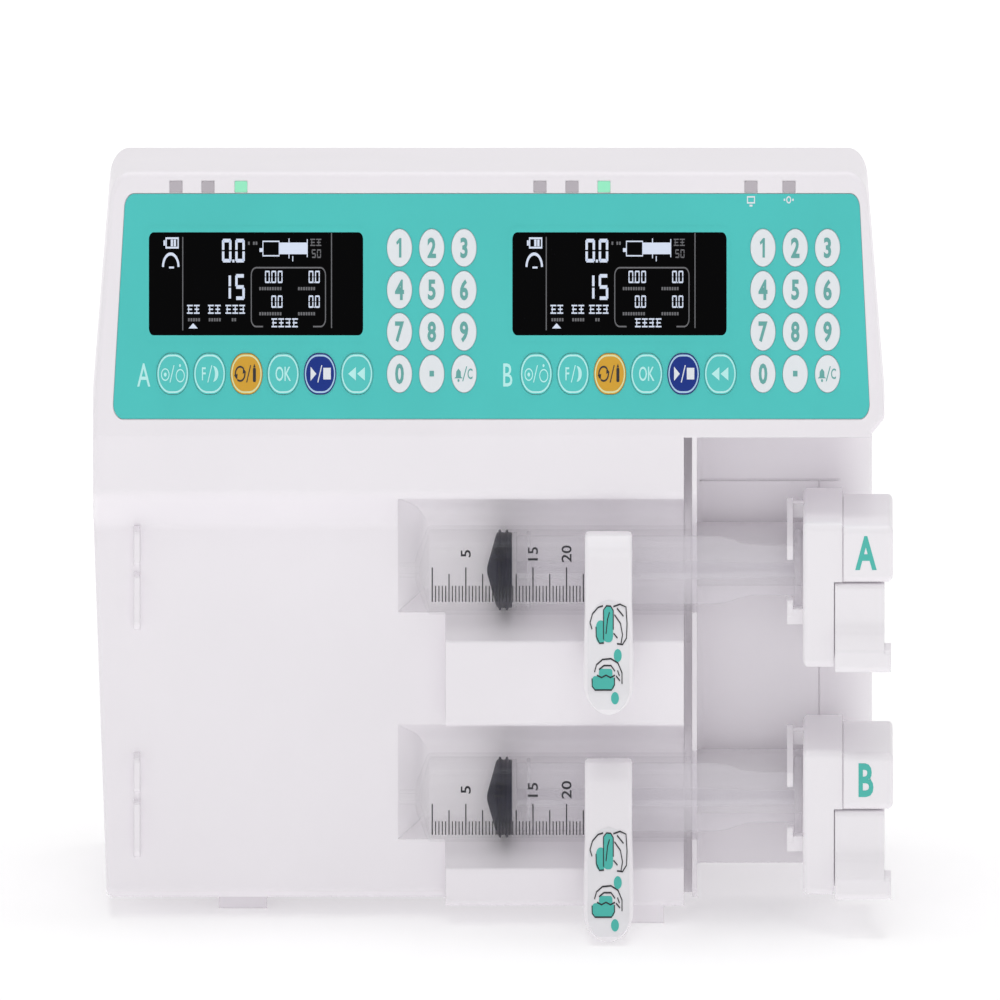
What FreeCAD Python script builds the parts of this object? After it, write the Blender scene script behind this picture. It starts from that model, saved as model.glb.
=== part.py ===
import FreeCAD, Part
import math
import os
import re

import Sketcher

# A two-channel syringe pump.  +X runs from the nozzle end of the syringes to the pusher heads, +Z is up and
# the front of the pump faces -Y.  The origin is at the middle of the underside of the whole pump's box.
# All lengths are in millimetres and all angles in degrees.
DIMENSIONS = {
    # housing
    "front_y": -36.0,          # front face of the lower housing
    "housing_depth": 116.0,
    "split_depth": 59.0,       # from the front face to the joint between the two shells
    "wall": 2.5,
    "base_z": 5.0,
    "left_x": -160.0,
    "left_foot_x": -153.0,     # the left side leans in towards the base
    "right_x": 151.6,
    "console_right_x": 156.6,
    "console_top_inset": 7.6,
    "waist_z": 112.0,
    "shoulder_z": 138.0,
    "top_z": 202.0,
    "top_round": 8.0,
    "back_top_z": 188.0,
    "chin_step": 12.0,
    "chin_low_z": 107.0,
    "chin_high_z": 116.0,
    # control panel; its origin is the middle of the overlay's lower edge
    "tilt": 10.0,
    "panel_y": -48.0,
    "panel_z": 137.0,
    "bezel_below": 4.5,
    "panel_wall": 6.0,
    "bezel_above": 66.0,
    "overlay_height": 60.0,
    "overlay_low_left": -152.2,
    "overlay_low_right": 150.8,
    "overlay_top_left": -147.0,
    "overlay_top_right": 146.4,
    "overlay_thick": 1.0,
    "overlay_round": 4.0,
    "key_well": 3.0,
    "gap": 0.15,
    # displays
    "display_a_x": -138.0,
    "display_width": 86.4,
    "display_low": 21.9,
    "display_height": 28.2,
    "display_depth": 8.0,
    "frame_lap": 3.0,
    "block_pitch": 145.4,      # from anything on block A to the same thing on block B
    # keys
    "number_key_x": -37.4,
    "number_key_pitch": 12.9,
    "number_key_r": 5.0,
    "key_row_low": 12.0,
    "key_row_pitch": 11.2,
    "function_key_x": -128.1,
    "function_key_pitch": 14.73,
    "function_key_width": 12.8,
    "function_key_height": 10.9,
    "key_proud": 0.4,
    "key_thick": 2.3,
    # indicator lights
    "light_width": 5.0,
    "light_height": 3.0,
    "light_low": 60.4,
    "light_depth": 4.0,
    # syringe channels; channel B lies below channel A
    "axis_y": -39.1,
    "axis_z": 94.5,
    "channel_pitch": 61.5,
    "barrel_r": 11.9,
    "barrel_bore_r": 10.85,
    "barrel_left_x": -26.0,
    "barrel_right_x": 77.2,
    "flange_thick": 2.0,
    "flange_r": 19.35,
    "flange_half_depth": 12.5,
    "nozzle_r": 2.1,
    "nozzle_bore_r": 1.1,
    "nozzle_left_x": -37.5,
    "stopper_left_x": -2.4,
    "stopper_right_x": 7.6,
    "rib_tall": 9.2,
    "rib_low": 6.8,
    "rib_thick": 1.6,
    "thumb_disc_x": 120.4,
    "thumb_disc_thick": 3.0,
    "thumb_disc_r": 11.0,
    # cradles that hold the barrels
    "shelf_left_x": -19.0,
    "shelf_right_x": 76.4,
    "shelf_front": 12.0,
    "shelf_edge_drop": 17.8,   # from the barrel's axis down to the shelf's front edge
    "shelf_a_base_z": 53.6,
    "ramp_angle": 26.0,
    "trough_depth": 9.0,       # from the front face to the wall behind the barrel
    "trough_rise": 18.5,
    "trough_left_x": -28.0,
    "trough_run_out": 10.0,    # how far the trough's left end slopes out to the front face
    "trough_corner": 6.0,
    "inner_wall_depth": 12.5,
    "slot_right_x": 79.6,
    "blade_right_x": 81.6,
    "notch_r": 12.4,
    # recess for the pusher heads
    "recess_depth": 31.0,
    "recess_top_z": 132.0,
    "recess_round": 17.0,
    "recess_base_z": 9.3,
    # pusher tubes, carriages and drive
    "tube_r": 8.5,
    "tube_bore_r": 6.5,
    "tube_y": -14.5,
    "tube_left_x": -6.0,
    "running_gap": 0.05,
    "carriage_left_x": -30.0,
    "carriage_length": 24.0,
    "screw_y": 8.0,
    "screw_r": 4.0,
    "guide_drop": 15.0,
    "guide_r": 4.0,
    "screw_left_x": -66.0,
    "bulkhead_left_x": -82.0,
    "bulkhead_right_x": 68.0,
    "bulkhead_thick": 3.0,
    "journal_r": 3.0,
    "motor_size": 42.0,
    "motor_length": 40.0,
    # pusher heads
    "head_left_x": 124.0,
    "head_right_x": 160.0,
    "head_seam_x": 140.0,
    "head_waist_x": 136.4,
    "head_front_y": -62.0,
    "head_back_y": -8.0,
    "head_top_rise": 16.7,     # above the barrel's axis
    "head_block_rise": 0.7,
    "head_drop": 22.5,
    "head_round": 2.4,
    "claw_thick": 2.4,
    "claw_ahead": 2.8,         # of the thumb disc
    "lever_left_x": 136.8,
    "lever_right_x": 156.6,
    # barrel clamps
    "clamp_x": 46.2,
    "clamp_half_width": 10.0,
    "clamp_back_y": -51.4,
    "clamp_drop": 22.5,        # from the barrel's axis down to the clamp's shaft
    "clamp_top_rise": 12.8,
    "clamp_tip_drop": 32.2,
    "clamp_top_depth": 11.0,
    "clamp_tip_y": -80.0,
    "shaft_r": 2.5,
    "shaft_length": 48.0,
    # feet, bosses and the rear
    "foot_width": 19.2,
    "foot_length": 16.0,
    "boss_r": 5.0,
    "screw_hole_r": 1.6,
    "housing_screw_r": 1.5,
    "screw_head_r": 3.4,
    "screw_head_height": 2.6,
    "counterbore": 10.0,
    "mount_spacing_x": 60.0,
    "mount_spacing_z": 50.0,
    "mount_centre_z": 105.0,
    "mount_hole_r": 2.0,
    "mount_hole_depth": 9.0,
    "inlet_x": -95.0,
    "inlet_z": 40.0,
    "inlet_width": 28.0,
    "inlet_height": 20.5,
}

NUMBER_KEYS = [
    ["0", "point", "clear"],
    ["7", "8", "9"],
    ["4", "5", "6"],
    ["1", "2", "3"],
]
FUNCTION_KEYS = ["power", "function", "purge", "ok", "start_stop", "rewind"]
LIGHT_PLACES_X = [-129.3, -116.5, -103.3, 16.3, 29.1, 41.9, 100.7, 115.9]
BOSS_PLACES = [(-147.0, 14.0, 1.0), (141.0, 18.0, 36.5), (-146.6, 172.0, -1.5), (140.0, 172.0, -1.5)]
CHANNELS = {"a": "axis_z", "b": "(axis_z - channel_pitch)"}
BLOCKS = {"a": "0", "b": "block_pitch"}

doc = FreeCAD.newDocument("syringe_pump")
sheet = doc.addObject("Spreadsheet::Sheet", "dims")
WORD = re.compile(r"[a-z][a-z_0-9]*")


def fill_sheet():
    for row, (alias, value) in enumerate(DIMENSIONS.items(), start=1):
        sheet.set(f"A{row}", alias)
        sheet.set(f"B{row}", str(value))
        sheet.setAlias(f"B{row}", alias)
    doc.recompute()


def formula(text):
    """The expression with the sheet's name in front of every alias."""
    def named(found):
        word = found.group()
        return "dims." + word if word in DIMENSIONS else word
    return WORD.sub(named, str(text))


def bind(item, prop, text):
    item.setExpression(prop, formula(text))


def number(text):
    """What an expression comes to at the sheet's present values."""
    return float(sheet.evalExpression(formula(text)))


def place(item, corner):
    for letter, text in zip("xyz", corner):
        bind(item, f".Placement.Base.{letter}", text)


# ---- primitives and booleans ----

def block(label, corner, size):
    item = doc.addObject("Part::Box", label)
    for prop, text in zip(("Length", "Width", "Height"), size):
        bind(item, prop, text)
    place(item, corner)
    return item


AXIS_TURNS = {
    "x": FreeCAD.Rotation(FreeCAD.Vector(0, 1, 0), 90),
    "y": FreeCAD.Rotation(FreeCAD.Vector(1, 0, 0), -90),
    "z": FreeCAD.Rotation(),
}


def cylinder(label, start, axis, radius, length):
    item = doc.addObject("Part::Cylinder", label)
    item.Placement = FreeCAD.Placement(FreeCAD.Vector(), AXIS_TURNS[axis])
    bind(item, "Radius", radius)
    bind(item, "Height", length)
    place(item, start)
    return item


def fuse(label, shapes):
    item = doc.addObject("Part::MultiFuse", label)
    item.Shapes = shapes
    item.Refine = True
    return item


def common(label, shapes):
    item = doc.addObject("Part::MultiCommon", label)
    item.Shapes = shapes
    return item


def cut(label, base, tools):
    item = doc.addObject("Part::Cut", label)
    item.Base = base
    item.Tool = tools[0] if len(tools) == 1 else fuse(label + "_tools", tools)
    return item


def group(label, shapes):
    """Separate solids that share one node."""
    item = doc.addObject("Part::Compound", label)
    item.Links = shapes
    return item


def soften(label, base, radius, wanted):
    """Rounds each edge of base for which wanted(edge) is true."""
    doc.recompute()
    size = number(radius)
    item = doc.addObject("Part::Fillet", label)
    item.Base = base
    item.Edges = [(i, size, size) for i, edge in enumerate(base.Shape.Edges, start=1) if wanted(edge)]
    return item


# ---- sketched bodies ----

def new_sketch(body, role, offset):
    sketch = body.newObject("Sketcher::SketchObject", body.Name + "_outline")
    plane = next(f for f in body.Origin.OriginFeatures if f.Role == role)
    sketch.AttachmentSupport = (plane, [""])
    sketch.MapMode = "FlatFace"
    bind(sketch, ".AttachmentOffset.Base.z", offset)
    return sketch


def pin_point(sketch, geometry, position, spot):
    """Holds a point of the sketch at a place that follows the sheet."""
    for kind, text in zip(("DistanceX", "DistanceY"), spot):
        index = sketch.addConstraint(Sketcher.Constraint(kind, geometry, position, number(text)))
        bind(sketch, f"Constraints[{index}]", text)


def corner_arc(here, before, after, radius):
    """The arc that rounds a corner, and which of its ends meets the line that comes in."""
    towards_before = (before - here).normalize()
    towards_after = (after - here).normalize()
    half = towards_before.getAngle(towards_after) / 2
    setback = radius / math.tan(half)
    entry = here + towards_before * setback
    leave = here + towards_after * setback
    middle_way = (towards_before + towards_after).normalize()
    centre = here + middle_way * (radius / math.sin(half))
    turns_left = (here - before).cross(after - here).z > 0
    first, last = (entry, leave) if turns_left else (leave, entry)
    angles = [math.atan2(p.y - centre.y, p.x - centre.x) for p in (first, last)]
    circle = Part.Circle(centre, FreeCAD.Vector(0, 0, 1), radius)
    return Part.ArcOfCircle(circle, angles[0], angles[1]), entry, leave, turns_left


def draw_outline(sketch, corners):
    """A closed outline through the corners.  A corner's third value is the radius that rounds it."""
    count = len(corners)
    spots = [FreeCAD.Vector(number(c[0]), number(c[1]), 0) for c in corners]
    arcs = [None] * count
    entries = list(spots)
    leaves = list(spots)
    for i, corner in enumerate(corners):
        if len(corner) > 2:
            arc = corner_arc(spots[i], spots[i - 1], spots[(i + 1) % count], number(corner[2]))
            arcs[i], entries[i], leaves[i] = arc, arc[1], arc[2]
    lines = [
        sketch.addGeometry(Part.LineSegment(leaves[i], entries[(i + 1) % count])) for i in range(count)
    ]
    for i, corner in enumerate(corners):
        coming, going = lines[i - 1], lines[i]
        if arcs[i] is None:
            sketch.addConstraint(Sketcher.Constraint("Coincident", coming, 2, going, 1))
            pin_point(sketch, going, 1, corner)
            continue
        arc = sketch.addGeometry(arcs[i][0])
        meets_coming, meets_going = (1, 2) if arcs[i][3] else (2, 1)
        apex = sketch.addGeometry(Part.Point(spots[i]), True)
        sketch.addConstraint([
            Sketcher.Constraint("Tangent", coming, 2, arc, meets_coming),
            Sketcher.Constraint("Tangent", going, 1, arc, meets_going),
            Sketcher.Constraint("PointOnObject", apex, 1, coming),
            Sketcher.Constraint("PointOnObject", apex, 1, going),
        ])
        pin_point(sketch, apex, 1, corner)
        index = sketch.addConstraint(Sketcher.Constraint("Radius", arc, number(corner[2])))
        bind(sketch, f"Constraints[{index}]", corner[2])


def pad(label, role, corners, start, length):
    """A body padded from an outline.  start is where the pad begins along the plane's own axis; a pad from
    the XZ plane runs from start towards -Y by length, so its start is its back."""
    body = doc.addObject("PartDesign::Body", label)
    offset = f"0 - ({start})" if role == "XZ_Plane" else start
    sketch = new_sketch(body, role, offset)
    draw_outline(sketch, corners)
    feature = body.newObject("PartDesign::Pad", label + "_pad")
    feature.Profile = sketch
    bind(feature, "Length", length)
    return body


def turned(label, corners, centre_y, centre_z):
    """A body turned about a line along X; corners are (x, radius) pairs with the axis on radius 0."""
    body = doc.addObject("PartDesign::Body", label)
    sketch = new_sketch(body, "XY_Plane", "0")
    draw_outline(sketch, corners)
    feature = body.newObject("PartDesign::Revolution", label + "_turn")
    feature.Profile = sketch
    feature.ReferenceAxis = (sketch, ["H_Axis"])
    feature.Angle = 360
    place(body, ("0", centre_y, centre_z))
    return body


def on_panel(item, corner=("0", "0", "0")):
    """Moves an item drawn flat, with its front upwards, onto the tilted control panel."""
    angle = 90 - number("tilt")
    item.Placement = FreeCAD.Placement(FreeCAD.Vector(), FreeCAD.Rotation(FreeCAD.Vector(1, 0, 0), angle))
    bind(item, ".Placement.Rotation.Angle", "90 - tilt")
    across, up, out = corner
    place(item, (
        across,
        f"panel_y + ({up}) * sin(tilt) - ({out}) * cos(tilt)",
        f"panel_z + ({up}) * cos(tilt) + ({out}) * sin(tilt)",
    ))
    return item


def panel_spot(up, depth):
    """The (y, z) formulas of a point at a height up the panel and a depth behind its face."""
    return (
        f"panel_y + ({up}) * sin(tilt) + ({depth}) * cos(tilt)",
        f"panel_z + ({up}) * cos(tilt) - ({depth}) * sin(tilt)",
    )


# ---- housing ----

def side_profile(inset):
    """The pump's outline seen from the side, drawn inside the outer skin by inset.  The outer one runs on past
    the sloping top, which the front outline cuts."""
    lower = (
        (f"front_y + {inset}", f"base_z + {inset}", "3"),
        (f"front_y + {inset}", f"chin_low_z - {inset} / 2", "5"),
        (f"front_y - chin_step + {inset}", f"chin_high_z + {inset} / 2", "4"),
    )
    back = f"front_y + housing_depth - {inset}"
    foot = (back, f"base_z + {inset}", "3")
    if inset == "0":
        panel_low = panel_spot("0 - bezel_below", "0")
        panel_top = panel_spot("bezel_above + 20", "0")
        return [*lower, (*panel_low, "3"), panel_top, (back, "back_top_z + 30"), foot]
    panel_low = panel_spot("0 - 2", "panel_wall")
    panel_top = panel_spot("bezel_above - 4", "panel_wall")
    return [*lower, panel_low, (*panel_top, "4"), (back, f"back_top_z - {inset}", "5"), foot]


def front_outline(inset):
    """The pump's outline seen from the front, which runs past the base."""
    return [
        (f"left_foot_x + {inset}", "0 - 20"),
        (f"left_x + {inset}", "waist_z", "40"),
        (f"left_x + {inset}", "shoulder_z", "30"),
        (f"left_x + console_top_inset + {inset}", f"top_z - {inset}", f"top_round - {inset}"),
        (f"console_right_x - console_top_inset - {inset}", f"top_z - {inset}", f"top_round - {inset}"),
        (f"console_right_x - {inset}", "shoulder_z", "10"),
        (f"console_right_x - {inset}", "recess_top_z + 4", "2"),
        (f"right_x - {inset}", "recess_top_z"),
        (f"right_x - {inset}", "0 - 20"),
    ]


def along_top(body):
    """Turns a body drawn from the front outline about the top of the panel, to follow the sloping top."""
    hinge = FreeCAD.Vector(0, *(number(text) for text in panel_spot("bezel_above", "0")))
    fall = hinge.z - number("back_top_z")
    run = number("front_y + housing_depth") - hinge.y
    turn = FreeCAD.Rotation(FreeCAD.Vector(1, 0, 0), -math.degrees(math.atan2(fall, run)))
    body.Placement = FreeCAD.Placement(FreeCAD.Vector(), turn, hinge)
    return body


def is_front_rim(edge):
    """An edge round the front of the housing: both sides, and the top of the panel."""
    box = edge.BoundBox
    if box.YMax > number("front_y") + 12:
        return False
    if box.YLength < 0.01 and box.ZLength < 0.01:
        return box.ZMin > number("top_z") - 10
    return box.ZMin > number("base_z") + 2


def housing_solid(label, inset):
    """The housing's whole outside, or its inside when inset is the wall."""
    side = pad(label + "_side", "YZ_Plane", side_profile(inset),
               "left_x - 5", "console_right_x - left_x + 10")
    front = pad(label + "_front", "XZ_Plane", front_outline(inset),
                "housing_depth + 30", "housing_depth + 90")
    return common(label + "_whole", [side, along_top(front)])


def housing_outer():
    """The solid outside of the whole housing, and the two cradle shelves."""
    hull = soften("outer_hull", housing_solid("outer", "0"), "2", is_front_rim)
    shelves = [
        pad(
            f"shelf_{name}", "YZ_Plane",
            [
                ("front_y - shelf_front", f"{low}", "1.5"),
                ("front_y - shelf_front", f"{axis} - shelf_edge_drop", "0.8"),
                ("front_y + trough_depth",
                 f"{axis} - shelf_edge_drop + (shelf_front + trough_depth) * tan(ramp_angle)"),
                ("front_y + trough_depth", f"{low}"),
            ],
            "shelf_left_x", "shelf_right_x - shelf_left_x",
        )
        for name, axis, low in (
            ("a", CHANNELS["a"], "shelf_a_base_z"),
            ("b", CHANNELS["b"], "base_z"),
        )
    ]
    return hull, shelves


def housing_cavity(label):
    """The hollow inside both shells, kept clear of the cradles, the recess and the blade."""
    cradle_keep = block(
        label + "_cradle_keep", ("trough_left_x - trough_run_out - wall", "front_y - 30", "0"),
        ("blade_right_x - trough_left_x + trough_run_out", "30 + inner_wall_depth", "waist_z + 6"),
    )
    recess_keep = pad(
        label + "_recess_keep", "XY_Plane",
        [
            ("shelf_right_x - wall", "front_y - 30"),
            ("shelf_right_x - wall", "front_y + recess_depth + wall"),
            ("right_x - wall", "front_y + recess_depth + wall", "recess_round - wall"),
            ("right_x - wall", "front_y + housing_depth / 2 + 20"),
            ("right_x + 20", "front_y + housing_depth / 2 + 20"),
            ("right_x + 20", "front_y - 30"),
        ],
        "0", "recess_top_z + wall",
    )
    base_keep = block(
        label + "_base_keep", ("shelf_right_x - wall", "front_y", "0"),
        ("100", "housing_depth", "recess_base_z + wall"),
    )
    return cut(label, housing_solid("inner", "wall"), [cradle_keep, recess_keep, base_keep])


def recess_tool():
    return pad(
        "recess_space", "XY_Plane",
        [
            ("blade_right_x", "front_y - 40"),
            ("blade_right_x", "front_y + recess_depth", "3"),
            ("right_x", "front_y + recess_depth", "recess_round"),
            ("right_x", "front_y + housing_depth / 2"),
            ("right_x + 20", "front_y + housing_depth / 2"),
            ("right_x + 20", "front_y - 40"),
        ],
        "0", "recess_top_z",
    )


def trough_tool(name, axis):
    """The space that a barrel and its nozzle lie in, which runs out to the front face at its left end."""
    ramp_foot = f"{axis} - shelf_edge_drop"
    section = pad(
        f"trough_section_{name}", "YZ_Plane",
        [
            ("front_y - 40", f"{ramp_foot} - 28 * tan(ramp_angle)"),
            ("front_y + trough_depth", f"{ramp_foot} + (shelf_front + trough_depth) * tan(ramp_angle)", "4"),
            ("front_y + trough_depth", f"{axis} + trough_rise - 4", "6"),
            ("front_y - 3", f"{axis} + trough_rise + 2"),
            ("front_y - 40", f"{axis} + trough_rise + 2"),
        ],
        "trough_left_x - trough_run_out", "slot_right_x - trough_left_x + trough_run_out",
    )
    plan = pad(
        f"trough_plan_{name}", "XY_Plane",
        [
            ("trough_left_x - trough_run_out", "front_y - 45"),
            ("trough_left_x - trough_run_out", "front_y"),
            ("trough_left_x", "front_y + trough_depth", "trough_corner"),
            ("slot_right_x + 1", "front_y + trough_depth"),
            ("slot_right_x + 1", "front_y - 45"),
        ],
        "0", "recess_top_z",
    )
    return common(f"trough_{name}", [section, plan])


def seam_tools():
    """The fine joints in the recess's back wall."""
    level = block("level_seam", ("blade_right_x + 1", "front_y + recess_depth - 1", "112.6"),
                  ("90", "1.6", "0.5"))
    upright = block("upright_seam", ("130.2", "front_y + recess_depth - 1", "0"), ("0.5", "1.6", "112.6"))
    return [level, upright]


def panel_tools():
    """Everything cut into the tilted console face."""
    overlay_bed = on_panel(pad(
        "overlay_bed", "XY_Plane", overlay_outline("gap"), "0 - overlay_thick", "overlay_thick + 20",
    ))
    tools = [overlay_bed]
    for name, shift in BLOCKS.items():
        number_well = block(
            f"number_well_{name}", ("0", "0", "0"),
            ("2 * number_key_pitch + 2 * number_key_r + 3",
             "3 * key_row_pitch + 2 * number_key_r + 3", "key_well + 5"),
        )
        on_panel(number_well, (
            f"number_key_x - number_key_r - 1.5 + {shift}",
            "key_row_low - number_key_r - 1.5", "0 - key_well",
        ))
        function_well = block(
            f"function_well_{name}", ("0", "0", "0"),
            ("5 * function_key_pitch + function_key_width + 3", "function_key_height + 2.6", "key_well + 5"),
        )
        on_panel(function_well, (
            f"function_key_x - function_key_width / 2 - 1.5 + {shift}",
            "key_row_low - function_key_height / 2 - 1.3", "0 - key_well",
        ))
        window = block(
            f"window_{name}", ("0", "0", "0"),
            ("display_width + 2 * gap", "display_height + 2 * gap", "40"),
        )
        on_panel(window, (f"display_a_x - gap + {shift}", "display_low - gap", "0 - 20"))
        tools += [number_well, function_well, window]
    for i, left in enumerate(LIGHT_PLACES_X):
        light_hole = block(f"light_hole_{i}", ("0", "0", "0"),
                           ("light_width + 0.1", "light_height + 0.1", "light_depth + 10"))
        on_panel(light_hole, (f"{left} - 0.05", "light_low - 0.05", "0 - light_depth - 0.1"))
        tools.append(light_hole)
    return tools


def overlay_outline(margin):
    return [
        (f"overlay_low_left - {margin}", f"0 - {margin}", "overlay_round"),
        (f"overlay_low_right + {margin}", f"0 - {margin}", "overlay_round"),
        (f"overlay_top_right + {margin}", f"overlay_height + {margin}", "overlay_round"),
        (f"overlay_top_left - {margin}", f"overlay_height + {margin}", "overlay_round"),
    ]


def tube_clips():
    """Upright fins on the left of the front face, each notched for the infusion line."""
    fins = []
    for name, axis in CHANNELS.items():
        fin = pad(
            f"clip_fin_{name}", "YZ_Plane",
            [
                ("front_y + 1", f"{axis} - 17"),
                ("front_y + 1", f"{axis} + 12"),
                ("front_y - 3.5", f"{axis} + 10.5", "2"),
                ("front_y - 3.5", f"{axis} + 1.6", "0.8"),
                ("front_y - 0.6", f"{axis} + 1.2", "0.5"),
                ("front_y - 0.6", f"{axis} - 1.2", "0.5"),
                ("front_y - 3.5", f"{axis} - 1.6", "0.8"),
                ("front_y - 3.5", f"{axis} - 15.5", "2"),
            ],
            "0 - 143.6", "2.4",
        )
        fins.append(fin)
    return fins


def front_bosses():
    return [
        cylinder(f"front_boss_{i}", (f"{x}", f"front_y + ({start})", f"{z}"), "y", "boss_r",
                 f"split_depth - ({start})")
        for i, (x, z, start) in enumerate(BOSS_PLACES)
    ]


def foot(label, left, front):
    return block(label, (left, front, "0"), ("foot_width", "foot_length", "base_z + 1"))


def front_housing(hull, shelves, cavity):
    front_half = block("front_half", ("left_x - 10", "front_y - 60", "0"),
                       ("400", "60 + split_depth", "300"))
    skin = common("front_skin", [hull, front_half])
    shell = cut("front_shell", fuse("front_solid_parts", [skin, *shelves]), [
        cavity, recess_tool(),
        *[trough_tool(name, axis) for name, axis in CHANNELS.items()],
        block("right_base_step", ("blade_right_x", "front_y", "0"),
              ("100", "housing_depth", "recess_base_z")),
    ])
    additions = [
        *tube_clips(), *front_bosses(),
        foot("front_foot_left", "0 - 109.6", "front_y + 13.8"),
        foot("front_foot_right", "49", "front_y - 9"),
    ]
    slot = block("flange_slot", ("shelf_right_x", "front_y - 40", "0"),
                 ("slot_right_x - shelf_right_x", "40 + trough_depth + 1", "recess_top_z"))
    holes = [slot, *seam_tools(), *panel_tools()]
    for name, axis in CHANNELS.items():
        holes += [
            cylinder(f"blade_notch_{name}", ("slot_right_x - 1", "axis_y", axis), "x", "notch_r",
                     "blade_right_x - slot_right_x + 2"),
            cylinder(f"tube_hole_{name}", ("shelf_right_x - 10", "tube_y", axis), "x",
                     "tube_r + running_gap", "30"),
            cylinder(f"shaft_hole_{name}", ("clamp_x", "front_y - 20", f"{axis} - clamp_drop"), "y",
                     "shaft_r + running_gap", "60"),
        ]
    holes += [
        cylinder(f"front_screw_hole_{i}", (f"{x}", "front_y + split_depth - 12", f"{z}"), "y",
                 "screw_hole_r", "20")
        for i, (x, z, _) in enumerate(BOSS_PLACES)
    ]
    bossed = fuse("front_with_bosses", [shell, *additions])
    return cut("front_housing", bossed, holes)


def rear_housing(hull, cavity):
    rear_half = block("rear_half", ("left_x - 10", "front_y + split_depth", "0"), ("400", "100", "300"))
    skin = common("rear_skin", [hull, rear_half])
    base_step = block("rear_base_step", ("blade_right_x", "front_y", "0"),
                      ("100", "housing_depth + 5", "recess_base_z"))
    shell = cut("rear_shell", skin, [cavity, base_step])
    back = "front_y + housing_depth"
    additions = [
        foot("rear_foot_left", "0 - 109.6", "front_y + 88"),
        foot("rear_foot_right", "49", "front_y + 88"),
    ]
    holes = [
        block("inlet_hole",
              ("inlet_x - inlet_width / 2 - gap", f"{back} - 10", "inlet_z - inlet_height / 2 - gap"),
              ("inlet_width + 2 * gap", "20", "inlet_height + 2 * gap")),
    ]
    for i, (x, z, _) in enumerate(BOSS_PLACES):
        additions.append(cylinder(f"rear_boss_{i}", (f"{x}", "front_y + split_depth", f"{z}"), "y", "boss_r",
                                  "housing_depth - split_depth - 1.5"))
        holes.append(cylinder(f"rear_screw_hole_{i}", (f"{x}", "front_y", f"{z}"), "y",
                              "screw_hole_r", "150"))
        holes.append(cylinder(f"rear_head_hole_{i}", (f"{x}", f"{back} - counterbore", f"{z}"), "y",
                              "screw_head_r + 0.3", "30"))
    for i, (side, level) in enumerate(((-1, -1), (1, -1), (-1, 1), (1, 1))):
        spot_x = f"{side} * mount_spacing_x / 2"
        spot_z = f"mount_centre_z + {level} * mount_spacing_z / 2"
        additions.append(cylinder(f"mount_boss_{i}", (spot_x, f"{back} - mount_hole_depth - 3", spot_z), "y",
                                  "boss_r", "mount_hole_depth + 3"))
        holes.append(cylinder(f"mount_hole_{i}", (spot_x, f"{back} - mount_hole_depth", spot_z), "y",
                              "mount_hole_r", "20"))
    for i in range(9):
        holes.append(block(f"vent_{i}", (f"60 + {i} * 6", f"{back} - 8", "40"), ("2.4", "20", "26")))
    return cut("rear_housing", fuse("rear_with_bosses", [shell, *additions]), holes)


def housing_screws():
    screws = []
    head_seat = "front_y + housing_depth - counterbore"
    for i, (x, z, _) in enumerate(BOSS_PLACES):
        shank = cylinder(f"screw_shank_{i}", (f"{x}", "front_y + split_depth - 11", f"{z}"), "y",
                         "housing_screw_r", "housing_depth - split_depth - counterbore + 12")
        head = cylinder(f"screw_head_{i}", (f"{x}", head_seat, f"{z}"), "y",
                        "screw_head_r", "screw_head_height")
        slots = [
            block(f"screw_cross_{i}_{way}", (f"{x} - {wide} / 2", f"{head_seat} + 1.4", f"{z} - {tall} / 2"),
                  (wide, "5", tall))
            for way, wide, tall in (("level", "3.6", "0.8"), ("upright", "0.8", "3.6"))
        ]
        screws.append(cut(f"screw_{i}", fuse(f"screw_whole_{i}", [shank, head]), slots))
    return group("housing_screws", screws)


# ---- control panel ----

def key_places():
    """Every key as (name, block, column formula, row formula, is it a number key)."""
    for letter, shift in BLOCKS.items():
        for row, names in enumerate(NUMBER_KEYS):
            for column, name in enumerate(names):
                yield (f"key_{letter}_{name}", f"number_key_x + {column} * number_key_pitch + {shift}",
                       f"key_row_low + {row} * key_row_pitch", True)
        for column, name in enumerate(FUNCTION_KEYS):
            yield (f"key_{letter}_{name}", f"function_key_x + {column} * function_key_pitch + {shift}",
                   "key_row_low", False)


def key_shape(label, across, up, is_number, margin, low, height):
    """A round number key or an oval function key, or the hole that it stands in."""
    if is_number:
        item = cylinder(label, ("0", "0", "0"), "z", f"number_key_r + {margin}", height)
        return on_panel(item, (across, up, low))
    half = f"(function_key_height / 2 + {margin})"
    reach = f"(function_key_width / 2 + {margin})"
    item = pad(label, "XY_Plane", [
        (f"0 - {reach}", f"0 - {half}", f"{half} - 0.01"),
        (reach, f"0 - {half}", f"{half} - 0.01"),
        (reach, half, f"{half} - 0.01"),
        (f"0 - {reach}", half, f"{half} - 0.01"),
    ], "0", height)
    return on_panel(item, (across, up, low))


def keys():
    made = []
    for name, across, up, is_number in key_places():
        plain = key_shape(name + "_blank", across, up, is_number, "0", "key_proud - key_thick", "key_thick")
        made.append(soften(name, plain, "0.3", is_key_rim(name, across, up)))
    return made


def is_key_rim(name, across, up):
    """Picks the edges round the outer face of a key."""
    rise = number("key_proud")
    spot_y = number(f"panel_y + ({up}) * sin(tilt)") - rise * math.cos(math.radians(number("tilt")))
    spot_z = number(f"panel_z + ({up}) * cos(tilt)") + rise * math.sin(math.radians(number("tilt")))
    spot = FreeCAD.Vector(number(across), spot_y, spot_z)
    tilt = math.radians(number("tilt"))
    outward = FreeCAD.Vector(0, -math.cos(tilt), math.sin(tilt))

    def wanted(edge):
        ends = [vertex.Point for vertex in edge.Vertexes]
        return all(abs((point - spot).dot(outward)) < 0.01 for point in ends)
    return wanted


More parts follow.
